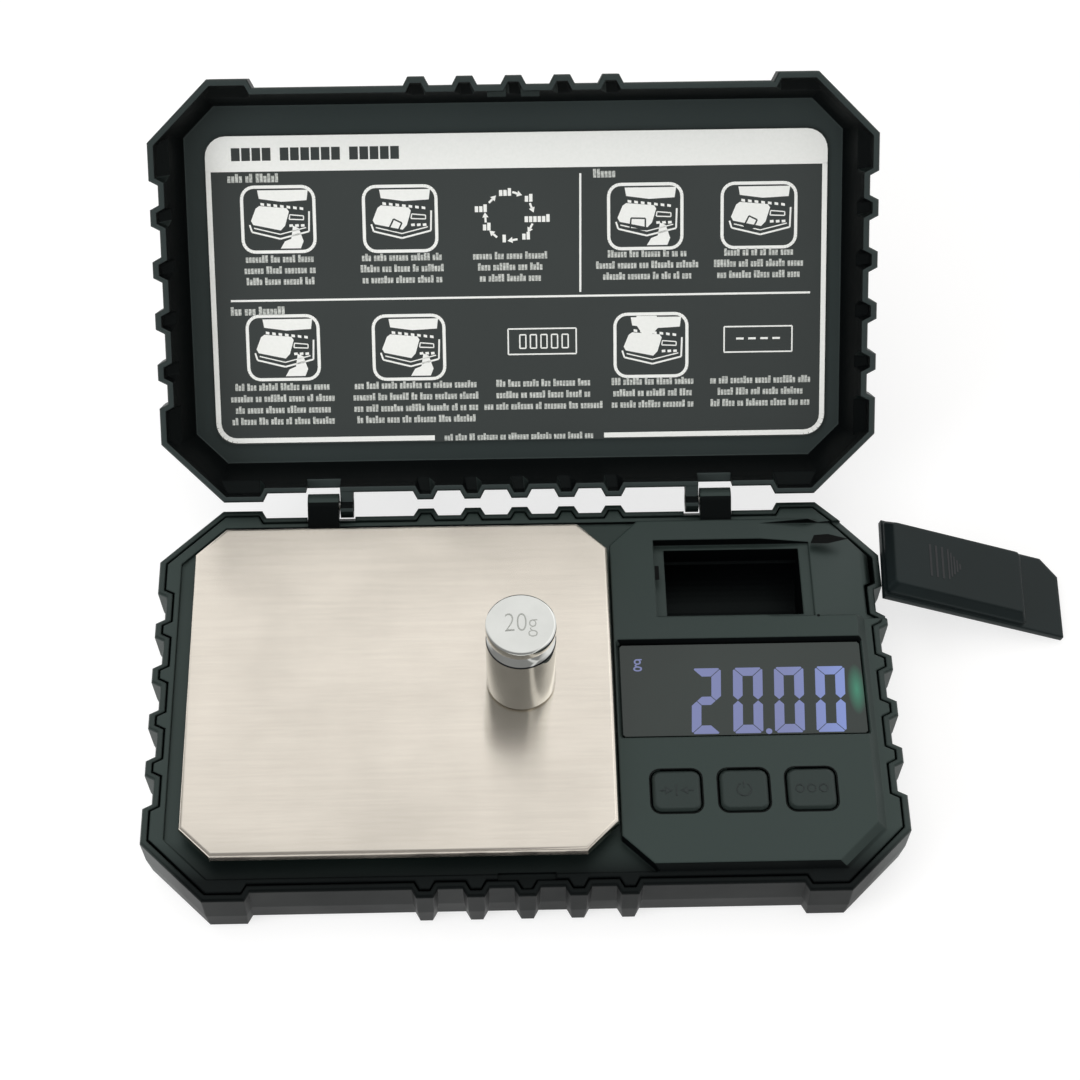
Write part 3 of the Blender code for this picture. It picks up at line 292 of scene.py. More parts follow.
def paint_bevel_shade(finish):
    """Paints shade on the sloped faces that look forward, but not on the ones that look right."""
    tree = finish.node_tree
    normal = add_node(tree, "ShaderNodeTexCoord").outputs["Normal"]
    part = add_node(tree, "ShaderNodeSeparateXYZ", {0: normal})
    front = add_node(tree, "ShaderNodeMath", {0: part.outputs["Y"], 1: -0.25}, operation="LESS_THAN")
    left = add_node(tree, "ShaderNodeMath", {0: part.outputs["X"], 1: 0.15}, operation="LESS_THAN")
    mask = add_node(tree, "ShaderNodeMath", {0: front.outputs[0], 1: left.outputs[0]},
                    operation="MULTIPLY")
    paint_shade(finish, mask.outputs[0])


def paint_inner_wall_shade(finish, centre):
    """Paints shade on the walls that face a centre from about 20 mm away or more."""
    tree = finish.node_tree
    place = add_node(tree, "ShaderNodeTexCoord")
    arm = add_node(tree, "ShaderNodeVectorMath", {0: place.outputs["Object"], 1: centre},
                   operation="SUBTRACT")
    match = add_node(tree, "ShaderNodeVectorMath", {0: place.outputs["Normal"], 1: arm.outputs[0]},
                     operation="DOT_PRODUCT")
    mask = add_node(tree, "ShaderNodeMapRange", {0: match.outputs["Value"], 1: -15 * MM,
                                                 2: -22 * MM})
    paint_shade(finish, mask.outputs[0])


def paint_floor_light(finish, facing, colour):
    """Paints light on the faces that look one way, as on the lid's flat floor beside its shaded walls."""
    tree = finish.node_tree
    shader = next(n for n in tree.nodes if n.type == "BSDF_PRINCIPLED")
    tint = shader.inputs["Base Color"].links[0].from_socket
    normal = add_node(tree, "ShaderNodeTexCoord").outputs["Normal"]
    match = add_node(tree, "ShaderNodeVectorMath", {0: normal, 1: facing}, operation="DOT_PRODUCT")
    flat = add_node(tree, "ShaderNodeMapRange", {0: match.outputs["Value"], 1: 0.96, 2: 0.99})
    pale = add_node(tree, "ShaderNodeMix", {"Factor": flat.outputs[0], 6: tint, 7: linear(colour)},
                    data_type="RGBA")
    tree.links.new(pale.outputs[2], shader.inputs["Base Color"])


case_abs = moulded_plastic("moulded_abs_case", "#131B19", "#192220", 0.46)
lid_abs = moulded_plastic("moulded_abs_lid", "#0B1110", "#101716", 0.50)
# Painted light on the lid's flat floor and painted shade on its inner walls.
paint_floor_light(lid_abs, lid_turn.to_3x3() @ Vector((0, 0, -1)), "#2A3131")
paint_inner_wall_shade(lid_abs, lid_turn @ (Vector(LID_MIDDLE) * MM))
key_abs = moulded_plastic("moulded_abs_keys", "#0F1715", "#151D1B", 0.44, grain_mm=0.3)
deck_abs = moulded_plastic("moulded_abs_top_case", "#1A2321", "#202A27", 0.46)
# Painted shade in the well, on the front rim and forward-facing bevels of the top case, and on the front of
# the bottom case and battery door.
paint_shade_in_box(deck_abs, WELL_LOW, WELL_HIGH)
paint_front_rim_shade(deck_abs, 14.5)
paint_bevel_shade(deck_abs)
paint_front_rim_shade(case_abs, 30.0)
for node in ("bottom_case", "battery_door"):
    dress(node, case_abs)
dress("top_case", deck_abs)
dress("lid_shell", lid_abs)
for node in ("tare_button", "power_button", "mode_button"):
    dress(node, key_abs)


# Storage cover: a separate moulding of smoother, slightly bluer ABS, with a grip mark of
# three bars and a stepped arrow on its top. The mark is made with the cover lying over the
# well, and then turned to where the cover leans.
COVER_AXIS = (-0.10638, 0.97682, -0.18573)
COVER_PIVOT = (41.70, 24.15, -113.65)
COVER_SWING = 19.54
COVER_SEAT = 15.9
COVER_SHEET = 1.2
COVER_BLOCK = 2.6
GRIP_MIDDLE = 24.2
GRIP_HALF = 3.8
GRIP_RISE = 0.04
cover_abs = moulded_plastic("smooth_abs_cover", "#080E10", "#0C1416", 0.36, edge_mm=0.7, bump=0.06,
                            sheen=0.22)
dress("storage_cover", cover_abs)


def join_object(name, bm, body, finish, smooth=False):
    """Turns a bmesh in metres into a piece that rides on a body."""
    mesh = bpy.data.meshes.new(name)
    bm.to_mesh(mesh)
    bm.free()
    if smooth:
        mesh.shade_smooth()
        mesh.set_sharp_from_angle(angle=math.radians(30))
    made = bpy.data.objects.new(name, mesh)
    scene.collection.objects.link(made)
    made.data.materials.append(finish)
    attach(made, body)
    return made


def add_plate(bm, points, z0, z1):
    """A flat plate with the given anticlockwise outline, in millimetres."""
    verts = [bm.verts.new((x * MM, y * MM, z0 * MM)) for x, y in points]
    face = bm.faces.new(verts)
    out = bmesh.ops.extrude_face_region(bm, geom=[face])
    top = [g for g in out["geom"] if isinstance(g, bmesh.types.BMVert)]
    bmesh.ops.translate(bm, verts=top, vec=(0, 0, (z1 - z0) * MM))


def box_points(x0, x1, y0, y1):
    """The anticlockwise outline of a rectangle."""
    return [(x0, y0), (x1, y0), (x1, y1), (x0, y1)]


def face_out(bm):
    """Turns every face outwards."""
    bmesh.ops.recalc_face_normals(bm, faces=bm.faces[:])


def flecked(name, dark, light, fleck_mm, roughness, detail=2.0, contrast=(0.0, 1.0), metallic=0.0,
            gloss=0.5):
    """An even finish whose colour wanders a little between two tints."""
    made, tree = new_material(name)
    place = add_node(tree, "ShaderNodeTexCoord").outputs["Object"]
    fleck = add_node(tree, "ShaderNodeTexNoise", {"Vector": place, "Scale": 1 / (fleck_mm * MM),
                                                  "Detail": detail})
    spread = add_node(tree, "ShaderNodeMapRange", {0: fleck.outputs["Fac"], 1: contrast[0],
                                                   2: contrast[1]})
    tint = add_node(tree, "ShaderNodeMix", {"Factor": spread.outputs[0], 6: linear(dark),
                                            7: linear(light)}, data_type="RGBA")
    shader = add_node(tree, "ShaderNodeBsdfPrincipled", {
        "Base Color": tint.outputs[2], "Roughness": roughness, "Metallic": metallic,
        "Specular IOR Level": gloss})
    end_material(tree, shader)
    return made


cover_pivot = Vector(COVER_PIVOT) * MM
cover_turn = (Matrix.Translation(cover_pivot)
              @ Matrix.Rotation(math.radians(COVER_SWING), 4, Vector(COVER_AXIS).normalized())
              @ Matrix.Translation(-cover_pivot))
mark_black = flecked("sunk_mark_in_abs", "#0C0E10", "#15181B", 0.4, 0.6)
bm = bmesh.new()
top = COVER_SEAT + COVER_SHEET + COVER_BLOCK
for x in (36.0, 37.3, 38.6):
    add_plate(bm, box_points(x, x + 0.45, GRIP_MIDDLE - GRIP_HALF, GRIP_MIDDLE + GRIP_HALF), top,
              top + GRIP_RISE)
for step in range(5):
    half = 3.6 - 0.72 * step
    x = 39.9 + 0.62 * step
    add_plate(bm, box_points(x, x + 0.36, GRIP_MIDDLE - half, GRIP_MIDDLE + half), top, top + GRIP_RISE)
face_out(bm)
bm.transform(cover_turn)
join_object("cover_grip_mark", bm, "cover", mark_black)


# Weighing platform: a pan of stainless sheet with a rolled edge, brushed from side to
# side, over a black plastic tray. The brushing draws each reflection out towards the front.
CORNER_CUT = 5.8
SHEET = 0.6
ROLLED_EDGE = 0.75
BRUSH_LENGTH = 30
BRUSH_PITCH = 0.25
BAND_LENGTH = 35
BAND_WIDTH = 1.4
SMEAR = 18

steel, tree = new_material("brushed_stainless_sheet")
place = add_node(tree, "ShaderNodeTexCoord").outputs["Object"]
# Brush lines are about 0.1 mm apart; they are drawn at 0.25 mm so that they show.
lines = add_node(tree, "ShaderNodeMapping", {
    "Vector": place,
    "Scale": (1 / (BRUSH_LENGTH * MM), 1 / (BRUSH_PITCH * MM), 1 / (BRUSH_PITCH * MM))})
brush = add_node(tree, "ShaderNodeTexNoise", {"Vector": lines.outputs[0], "Scale": 1.0, "Detail": 3.0,
                                              "Roughness": 0.7})
broad = add_node(tree, "ShaderNodeMapping", {
    "Vector": place, "Scale": (1 / (BAND_LENGTH * MM), 1 / (BAND_WIDTH * MM), 1)})
bands = add_node(tree, "ShaderNodeTexNoise", {"Vector": broad.outputs[0], "Scale": 1.0, "Detail": 8.0,
                                              "Roughness": 0.85})
smear = add_node(tree, "ShaderNodeTexNoise", {"Vector": place, "Scale": 1 / (SMEAR * MM),
                                              "Detail": 4.0})
tint = add_node(tree, "ShaderNodeMix", {"Factor": bands.outputs["Fac"], 6: linear("#D6CDC1"),
                                        7: linear("#EDE6DA")}, data_type="RGBA")
rough = add_node(tree, "ShaderNodeMapRange", {0: smear.outputs["Fac"], 1: 0.35, 2: 0.7, 3: 0.19, 4: 0.25})
scratch = add_node(tree, "ShaderNodeBump", {"Height": brush.outputs["Fac"], "Strength": 0.05,
                                            "Distance": 0.03 * MM})
across = add_node(tree, "ShaderNodeCombineXYZ", {"Y": 1.0})
shader = add_node(tree, "ShaderNodeBsdfPrincipled", {
    "Base Color": tint.outputs[2], "Metallic": 1.0, "Roughness": rough.outputs[0],
    "Anisotropic": 0.98, "Normal": scratch.outputs[0], "Tangent": across.outputs[0]})
end_material(tree, shader)

low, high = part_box("platform_pan")
x0, x1, y0, y1 = low[0], high[0], low[1], high[1]
cut = CORNER_CUT * MM
corners = [(x0 + cut, y0), (x1 - cut, y0), (x1, y0 + cut), (x1, y1 - cut),
           (x1 - cut, y1), (x0 + cut, y1), (x0, y1 - cut), (x0, y0 + cut)]
bm = bmesh.new()
sheet = bm.faces.new([bm.verts.new((x, y, high[2])) for x, y in corners])
drop = bmesh.ops.extrude_edge_only(bm, edges=sheet.edges[:])
skirt = [g for g in drop["geom"] if isinstance(g, bmesh.types.BMVert)]
bmesh.ops.translate(bm, verts=skirt, vec=(0, 0, low[2] - high[2]))
face_out(bm)
if sheet.normal.z < 0:
    bmesh.ops.reverse_faces(bm, faces=bm.faces[:])
bmesh.ops.solidify(bm, geom=bm.faces[:], thickness=SHEET * MM)
roll = [e for e in bm.edges if all(abs(v.co.z - high[2]) < 1e-6 for v in e.verts)
        and len(e.link_faces) == 2 and e.calc_face_angle() > 0.5]
bmesh.ops.bevel(bm, geom=roll, offset=ROLLED_EDGE * MM, offset_type="OFFSET", segments=5, profile=0.5,
                affect="EDGES", material=-1)
face_out(bm)
pan = join_object("platform_sheet", bm, "platform", steel, smooth=True)
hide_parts("platform_pan")

tray_abs = moulded_plastic("black_abs_tray", "#15181A", "#1B1F21", 0.5)
dress("platform_tray", tray_abs)


# Check weight: a turned and polished steel cylinder with a knob above a grip groove.
# Its top is faced on the lathe and carries its size in grams, etched.
PROFILE_RADIUS = 6.5
PROFILE_HEIGHT = 20.2
CHAMFER_LINE = (15.15, 0.16)
GRIP_GROOVE = (17.2, 0.95)
LATHE_PITCH = 2.4
POLISH_SMEAR = 5

low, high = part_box("check_weight")
mid = ((low[0] + high[0]) / 2, (low[1] + high[1]) / 2)
radius = (high[0] - low[0]) / 2
tall = high[2] - low[2]
turned, tree = new_material("polished_turned_steel")
place = add_node(tree, "ShaderNodeTexCoord").outputs["Object"]
rings = add_node(tree, "ShaderNodeMapping", {"Vector": place, "Location": (-mid[0], -mid[1], 0)})
lathe = add_node(tree, "ShaderNodeTexWave", {"Vector": rings.outputs[0], "Scale": 1 / (LATHE_PITCH * MM),
                                             "Distortion": 0.6, "Detail": 1.0},
                 wave_type="RINGS", rings_direction="Z")
smear = add_node(tree, "ShaderNodeTexNoise", {"Vector": place, "Scale": 1 / (POLISH_SMEAR * MM),
                                              "Detail": 3.0})
rough = add_node(tree, "ShaderNodeMapRange", {0: smear.outputs["Fac"], 1: 0.3, 2: 0.7, 3: 0.05, 4: 0.11})
tint = add_node(tree, "ShaderNodeMix", {"Factor": smear.outputs["Fac"], 6: linear("#C9CAC6"),
                                        7: linear("#DADBD7")}, data_type="RGBA")
# The grip groove and the line at its foot see little light and are darker than the rest.
part = add_node(tree, "ShaderNodeSeparateXYZ", {0: place})
mask = 0.0
for level, half in (CHAMFER_LINE, GRIP_GROOVE):
    height = low[2] + level * tall / PROFILE_HEIGHT
    ring = add_node(tree, "ShaderNodeMath", {0: part.outputs["Z"], 1: height, 2: half * MM},
                    operation="COMPARE")
    mask = add_node(tree, "ShaderNodeMath", {0: ring.outputs[0], 1: mask}, operation="MAXIMUM").outputs[0]
tint = add_node(tree, "ShaderNodeMix", {"Factor": mask, 6: tint.outputs[2], 7: linear("#4A4B4E")},
                data_type="RGBA")
cut_line = add_node(tree, "ShaderNodeBump", {"Height": lathe.outputs["Fac"], "Strength": 0.06,
                                             "Distance": 0.03 * MM})
shader = add_node(tree, "ShaderNodeBsdfPrincipled", {
    "Base Color": tint.outputs[2], "Metallic": 1.0, "Roughness": rough.outputs[0],
    "Normal": cut_line.outputs[0]})
end_material(tree, shader)
profile = [(0.0, 0.0), (5.9, 0.0), (6.2, 0.06), (6.42, 0.25), (6.5, 0.55), (6.5, 14.9), (6.42, 15.2),
           (6.2, 15.42), (5.9, 15.55), (5.5, 15.75), (5.15, 16.05), (4.95, 16.4), (4.9, 16.8), (4.9, 17.3),
           (5.05, 17.7), (5.5, 17.95), (6.1, 18.1), (6.38, 18.25), (6.5, 18.5), (6.5, 19.75), (6.42, 20.02),
           (6.2, 20.17), (5.9, 20.2), (0.0, 20.2)]
bm = bmesh.new()
line = [bm.verts.new((r * radius / PROFILE_RADIUS, 0, low[2] + h * tall / PROFILE_HEIGHT))
        for r, h in profile]
edges = [bm.edges.new(pair) for pair in zip(line, line[1:])]
bmesh.ops.spin(bm, geom=line + edges, cent=(0, 0, 0), axis=(0, 0, 1), angle=2 * math.pi, steps=128,
               use_merge=True)
bmesh.ops.remove_doubles(bm, verts=bm.verts[:], dist=1e-6)
face_out(bm)
bmesh.ops.translate(bm, verts=bm.verts[:], vec=(mid[0], mid[1], 0))
weight = join_object("check_weight_turned", bm, "weight", turned, smooth=True)
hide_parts("check_weight")

# Etching leaves a dull, slightly darker grey in the polished top.
etched = flecked("etched_steel", "#A9ABA6", "#B9BBB6", 0.2, 0.6, metallic=0.6)


def lettering(text, size, x, y, z, thick, narrow=1.0, thin=0.0):
    """Numerals as a thin plate, centred on (x, y), in millimetres."""
    curve = bpy.data.curves.new("numerals", "FONT")
    curve.body = text
    curve.size = size * MM
    curve.extrude = thick * MM / 2
    curve.offset = -thin * MM
    curve.align_x = "CENTER"
    curve.align_y = "CENTER"
    helper = bpy.data.objects.new("numerals", curve)
    scene.collection.objects.link(helper)
    bpy.context.view_layer.update()
    ready = helper.evaluated_get(bpy.context.evaluated_depsgraph_get())
    mesh = bpy.data.meshes.new_from_object(ready)
    bpy.data.objects.remove(helper)
    bm = bmesh.new()
    bm.from_mesh(mesh)
    bmesh.ops.remove_doubles(bm, verts=bm.verts[:], dist=1e-7)
    bmesh.ops.scale(bm, verts=bm.verts[:], vec=(narrow, 1, 1))
    bmesh.ops.translate(bm, verts=bm.verts[:], vec=(x * MM, y * MM, z * MM))
    return bm


bm = lettering("20g", 5.6, mid[0] / MM, mid[1] / MM + 0.2, high[2] / MM, 0.03, narrow=0.78, thin=0.09)
join_object("weight_numerals", bm, "weight", etched)


# Display: a smoked acrylic window over a reverse liquid crystal. Lit segments show
# lavender, and the backlight leaks a little green at the right end.
LEAK_PLACE = (63.0, -1.2)
LEAK_SIZE = (1.8, 5.6)
DIGIT_FRONT = -10.3
DIGIT_BACK = 3.9
BAR_WIDTH = 1.8
BAR_GAP = 0.1
CORNER_NIP = 0.5
SLANT = 0.055
PRINT_RISE = 0.02
POINT_PLACE = (45.8, -9.95)
POINT_RADIUS = 0.6

low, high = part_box("display_window")
smoked, tree = new_material("smoked_acrylic_window")
place = add_node(tree, "ShaderNodeTexCoord").outputs["Object"]
leak = add_node(tree, "ShaderNodeMapping", {
    "Vector": place,
    "Location": (-LEAK_PLACE[0] / LEAK_SIZE[0], -LEAK_PLACE[1] / LEAK_SIZE[1], 0),
    "Scale": (1 / (LEAK_SIZE[0] * MM), 1 / (LEAK_SIZE[1] * MM), 0)})
spot = add_node(tree, "ShaderNodeTexGradient", {"Vector": leak.outputs[0]}, gradient_type="SPHERICAL")
cloud = add_node(tree, "ShaderNodeTexNoise", {"Vector": place, "Scale": 1 / (20 * MM), "Detail": 2.0})
tint = add_node(tree, "ShaderNodeMix", {"Factor": cloud.outputs["Fac"], 6: linear("#1C2622"),
                                        7: linear("#242E2A")}, data_type="RGBA")
green = add_node(tree, "ShaderNodeMix", {"Factor": spot.outputs["Fac"], 6: linear("#000000"),
                                         7: linear("#3FB890")}, data_type="RGBA")
shader = add_node(tree, "ShaderNodeBsdfPrincipled", {
    "Base Color": tint.outputs[2], "Roughness": 0.12, "IOR": 1.49,
    "Emission Color": green.outputs[2], "Emission Strength": 0.4})
end_material(tree, shader)
dress("display_window", smoked)

# The segments glow by themselves, greyer at the left than at the right.
lit, tree = new_material("lit_liquid_crystal")
place = add_node(tree, "ShaderNodeTexCoord").outputs["Object"]
part = add_node(tree, "ShaderNodeSeparateXYZ", {0: place})
fade = add_node(tree, "ShaderNodeMapRange", {0: part.outputs["X"], 1: 50 * MM, 2: 60 * MM})
tint = add_node(tree, "ShaderNodeMix", {"Factor": fade.outputs[0], 6: linear("#757DA8"),
                                        7: linear("#8094D0")}, data_type="RGBA")
shader = add_node(tree, "ShaderNodeBsdfPrincipled", {
    "Base Color": linear("#3A3C58"), "Roughness": 0.3,
    "Emission Color": tint.outputs[2], "Emission Strength": 0.78})
end_material(tree, shader)

DIGITS = {"2": "abged", "0": "abcdef"}


def add_digit(bm, bars, x0, x1, z):
    """One seven-segment numeral. a is the top bar, then clockwise, and g the middle."""
    a = (x1 - x0) / 2
    h = (DIGIT_BACK - DIGIT_FRONT) / 2
    wide, gap, nip = BAR_WIDTH, BAR_GAP, CORNER_NIP
    bar = [(-a + wide + gap, h - wide), (a - wide - gap, h - wide), (a - nip / 2 - gap, h - nip / 2),
           (a - nip, h), (-a + nip, h), (-a + nip / 2 + gap, h - nip / 2)]
    side = [(a - wide, h - wide - gap), (a - wide, wide / 2 + gap), (a - wide / 2, gap),
            (a, wide / 2 + gap), (a, h - nip), (a - nip / 2, h - nip / 2 - gap)]
    middle = [(-a + wide / 2 + gap, 0), (-a + wide + gap, -wide / 2), (a - wide - gap, -wide / 2),
              (a - wide / 2 - gap, 0), (a - wide - gap, wide / 2), (-a + wide + gap, wide / 2)]
    segments = {"a": (bar, 1, 1), "b": (side, 1, 1), "c": (side, 1, -1), "d": (bar, 1, -1),
                "e": (side, -1, -1), "f": (side, -1, 1), "g": (middle, 1, 1)}
    for name in bars:
        outline, flip_x, flip_y = segments[name]
        points = []
        for x, y in outline:
            rise = h + flip_y * y
            points.append((x0 + a + flip_x * x + SLANT * rise, DIGIT_FRONT + rise))
        add_plate(bm, points, z, z + PRINT_RISE)


def disc_points(x, y, r, count):
    """The outline of a small disc."""
    turns = [2 * math.pi * step / count for step in range(count)]
    return [(x + r * math.cos(turn), y + r * math.sin(turn)) for turn in turns]


bm = bmesh.new()
glass = high[2] / MM
for numeral, x0, x1 in (("2", 31.3, 36.8), ("0", 39.1, 44.7), ("0", 46.9, 52.5), ("0", 54.7, 60.3)):
    add_digit(bm, DIGITS[numeral], x0, x1, glass)
add_plate(bm, disc_points(*POINT_PLACE, POINT_RADIUS, 12), glass, glass + PRINT_RISE)
face_out(bm)
join_object("display_numerals", bm, "case", lit)
bm = lettering("g", 4.0, 21.8, 5.6, glass, PRINT_RISE)
join_object("display_unit", bm, "case", lit)


# Key symbols and shadow lines: low raised line marks on the three caps, for taring, power and
# mode. Each cap stands in a narrow gap in the panel, and the panel has three small notches; the
# shade in the gaps and notches is painted as thin black plates on the panel.
MARK_RISE = 0.05
MARK_LINE = 0.3
KEY_HALF_X = 4.45
KEY_HALF_Y = 4.2
KEY_GAP = 0.3
SHADOW_WIDTH = 0.22
PANEL_Z = 15.6
SHADOW_RISE = 0.02
mark_gloss = moulded_plastic("raised_mark_abs", "#101314", "#15191A", 0.3)
# A gap is black, because no light comes back out of it.
painted_gap_shade = flecked("shadow_line_abs", "#020303", "#060808", 0.4, 0.8, gloss=0.2)


def add_ring(bm, x, y, r, wide, z0, z1, start=0, end=360):
    """An arc of flat band about (x, y), from one angle to another."""
    outer = []
    inner = []
    count = int(32 * (end - start) / 360)
    for step in range(count + 1):
        angle = math.radians(start + (end - start) * step / count)
        outer.append((x + (r + wide / 2) * math.cos(angle), y + (r + wide / 2) * math.sin(angle)))
        inner.append((x + (r - wide / 2) * math.cos(angle), y + (r - wide / 2) * math.sin(angle)))
    for step in range(count):
        add_plate(bm, [inner[step], outer[step], outer[step + 1], inner[step + 1]], z0, z1)


def round_points(x0, x1, y0, y1, r, steps=6):
    """The anticlockwise outline of a rectangle with round corners."""
    points = []
    for corner_x, corner_y, start in ((x1 - r, y0 + r, -90), (x1 - r, y1 - r, 0), (x0 + r, y1 - r, 90),
                                      (x0 + r, y0 + r, 180)):
        for step in range(steps + 1):
            angle = math.radians(start + 90 * step / steps)
            points.append((corner_x + r * math.cos(angle), corner_y + r * math.sin(angle)))
    return points


def key_outline(x, y, out, r):
    """A key's outline, moved outwards."""
    return round_points(x - KEY_HALF_X - out, x + KEY_HALF_X + out, y - KEY_HALF_Y - out,
                        y + KEY_HALF_Y + out, r)


for node, body, mark in (("tare_button", "tare_key", "arrows"), ("power_button", "power_key", "power"),
                         ("mode_button", "mode_key", "rings")):
    low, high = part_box(node)
    x = (low[0] + high[0]) / 2 / MM
    y = (low[1] + high[1]) / 2 / MM
    z = high[2] / MM
    bm = bmesh.new()
    if mark == "arrows":
        add_plate(bm, box_points(x - MARK_LINE / 2, x + MARK_LINE / 2, y - 1.1, y + 1.1), z, z + MARK_RISE)
        for side in (-1, 1):
            tip = x + side * 0.7
            tail = x + side * 2.1
            end = x + side * 3.1
            head = [(tip, y), (tail, y - 0.8), (tail, y - 0.35), (tail, y + 0.35), (tail, y + 0.8)]
            add_plate(bm, head[::side], z, z + MARK_RISE)
            add_plate(bm, box_points(min(tail, end), max(tail, end), y - MARK_LINE / 2, y + MARK_LINE / 2),
                      z, z + MARK_RISE)
    elif mark == "power":
        add_ring(bm, x, y, 1.3, 0.32, z, z + MARK_RISE, 120, 420)
        add_plate(bm, box_points(x - 0.16, x + 0.16, y + 0.3, y + 1.7), z, z + MARK_RISE)
    else:
        for offset in (-2.2, 0.0, 2.2):
            add_ring(bm, x + offset, y, 0.75, MARK_LINE, z, z + MARK_RISE)
    face_out(bm)
    join_object(node + "_mark", bm, body, mark_gloss)

    # Painted shade: a thin black ring plate in the gap round each cap.
    bm = bmesh.new()
    inner = key_outline(x, y, KEY_GAP, 1.9)
    outer = key_outline(x, y, KEY_GAP + SHADOW_WIDTH, 2.1)
    for corners in zip(inner, outer, outer[1:] + outer[:1], inner[1:] + inner[:1]):
        add_plate(bm, corners, PANEL_Z, PANEL_Z + SHADOW_RISE)
    face_out(bm)
    join_object(node + "_gap_shadow", bm, "case", painted_gap_shade)

# Painted shade: black plates stand for the shade in the panel's three small notches.
bm = bmesh.new()
for outline in ([(56.8, 31.3), (60.2, 31.2), (64.2, 32.2), (60.4, 33.4), (57.6, 33.2)],
                box_points(26.0, 26.8, 23.4, 26.6), disc_points(57.0, 14.7, 0.3, 8)):
    add_plate(bm, outline, PANEL_Z, PANEL_Z + SHADOW_RISE)
face_out(bm)
join_object("panel_notch_shadows", bm, "case", painted_gap_shade)


# Lid card: a card printed in white on grey, glued to the lid's floor. It has a frame with a
# header band, line drawings of the scale in rounded boxes, and rows of small blocks for its
# text. It is laid out as it lies when the lid is shut, and then turned with the lid.
CARD_Z = 24.7
INK = 0.03
CARD_LEFT, CARD_RIGHT, CARD_FRONT, CARD_BACK = -59.7, 60.8, -30.4, 29.4
FRAME_WIDTH = 1.0
HEADER_FRONT = 23.2
FOOT_GAP = (-16.7, 17.2)
LETTER_PITCH = 0.44
LETTER_GAP = 0.09
ROW_HEIGHT = 1.45

# Coated card: an even, half-matt grey with a faint tooth.
card, tree = new_material("printed_card_grey")
place = add_node(tree, "ShaderNodeTexCoord").outputs["Object"]
fibre = add_node(tree, "ShaderNodeTexNoise", {"Vector": place, "Scale": 1 / (0.5 * MM), "Detail": 3.0})
cloud = add_node(tree, "ShaderNodeTexNoise", {"Vector": place, "Scale": 1 / (30 * MM), "Detail": 2.0})
tint = add_node(tree, "ShaderNodeMix", {"Factor": cloud.outputs["Fac"], 6: linear("#323736"),
                                        7: linear("#393F3E")}, data_type="RGBA")
relief = add_node(tree, "ShaderNodeBump", {"Height": fibre.outputs["Fac"], "Strength": 0.08,
                                           "Distance": 0.03 * MM})
shader = add_node(tree, "ShaderNodeBsdfPrincipled", {"Base Color": tint.outputs[2], "Roughness": 0.55,
                                                     "Normal": relief.outputs[0]})
end_material(tree, shader)
dress("lid_label", card)

# Screen-printed ink covers well in broad patches and breaks up grey in fine letters.
ink = flecked("screen_printed_white_ink", "#F0F2EE", "#FAFBF8", 0.6, 0.5)
fine_ink = flecked("fine_printed_ink", "#9EA29E", "#D6D9D4", 0.4, 0.5, detail=3.0, contrast=(0.35, 0.65))


def print_shape(bm, points, lift=1):
    """A printed patch: points are (across, up) on the card, in millimetres."""
    add_plate(bm, [(u, -v) for u, v in points], CARD_Z - INK * (lift - 1), CARD_Z - INK * lift)


def print_box(bm, u0, u1, v0, v1, lift=1):
    """A printed rectangle."""
    print_shape(bm, box_points(u0, u1, v0, v1), lift)


def print_line(bm, points, wide, lift=1):
    """A printed line through points."""
    for (u0, v0), (u1, v1) in zip(points, points[1:]):
        run = math.hypot(u1 - u0, v1 - v0)
        du = -(v1 - v0) / run * wide / 2
        dv = (u1 - u0) / run * wide / 2
        print_shape(bm, [(u0 + du, v0 + dv), (u0 - du, v0 - dv), (u1 - du, v1 - dv),
                         (u1 + du, v1 + dv)], lift)


def print_loop(bm, points, wide, lift=1):
    """A printed line that closes on itself."""
    print_line(bm, points + points[:1], wide, lift)


words = random.Random(7)


def print_words(bm, u, v, wide, tall, align="centre"):
    """A row of small blocks, grouped like the letters of words, standing for text."""
    pitch = LETTER_PITCH * tall
    blocks = []
    run = 0.0
    while run < wide:
        for _ in range(words.choice((2, 3, 4, 5, 6, 7))):
            blocks.append((run, words.random() < 0.25))
            run += pitch
        run += pitch * 0.7
    length = blocks[-1][0] + pitch
    start = u if align == "left" else u - length / 2
    for left, ascends in blocks:
        rise = tall if ascends else tall * 0.74
        print_box(bm, start + left, start + left + pitch - LETTER_GAP * tall, v, v + rise)


def finish_print(name, bm, finish):
    """Turns a print with the lid and joins it as a piece."""
    face_out(bm)
    bm.transform(lid_turn)
    join_object(name, bm, "lid", finish)


bm = bmesh.new()
frame_line = round_points(CARD_LEFT, CARD_RIGHT, CARD_FRONT, CARD_BACK, 3.6)
right_corner = frame_line[:7]
left_corner = frame_line[-7:]
print_line(bm, [(FOOT_GAP[1], CARD_FRONT)] + right_corner + [(CARD_RIGHT, HEADER_FRONT)], FRAME_WIDTH)
print_line(bm, [(CARD_LEFT, HEADER_FRONT)] + left_corner + [(FOOT_GAP[0], CARD_FRONT)], FRAME_WIDTH)
half = FRAME_WIDTH / 2
band = [p for p in round_points(CARD_LEFT - half, CARD_RIGHT + half, 16.0, CARD_BACK + half, 4.1)
        if p[1] > 22.9]
print_shape(bm, [(CARD_RIGHT + half, 23.0)] + band + [(CARD_LEFT - half, 23.0)])
print_line(bm, [(12.9, 21.8), (12.7, -1.5)], 0.4)
print_line(bm, [(-56.3, -2.3), (58.2, -2.3)], 0.4)
rows_of_words = bmesh.new()
for u, v, wide in ((-56.0, 20.9, 7.0), (15.4, 20.9, 4.6), (-56.4, -5.2, 9.0)):
    print_words(rows_of_words, u, v, wide, 1.7, "left")
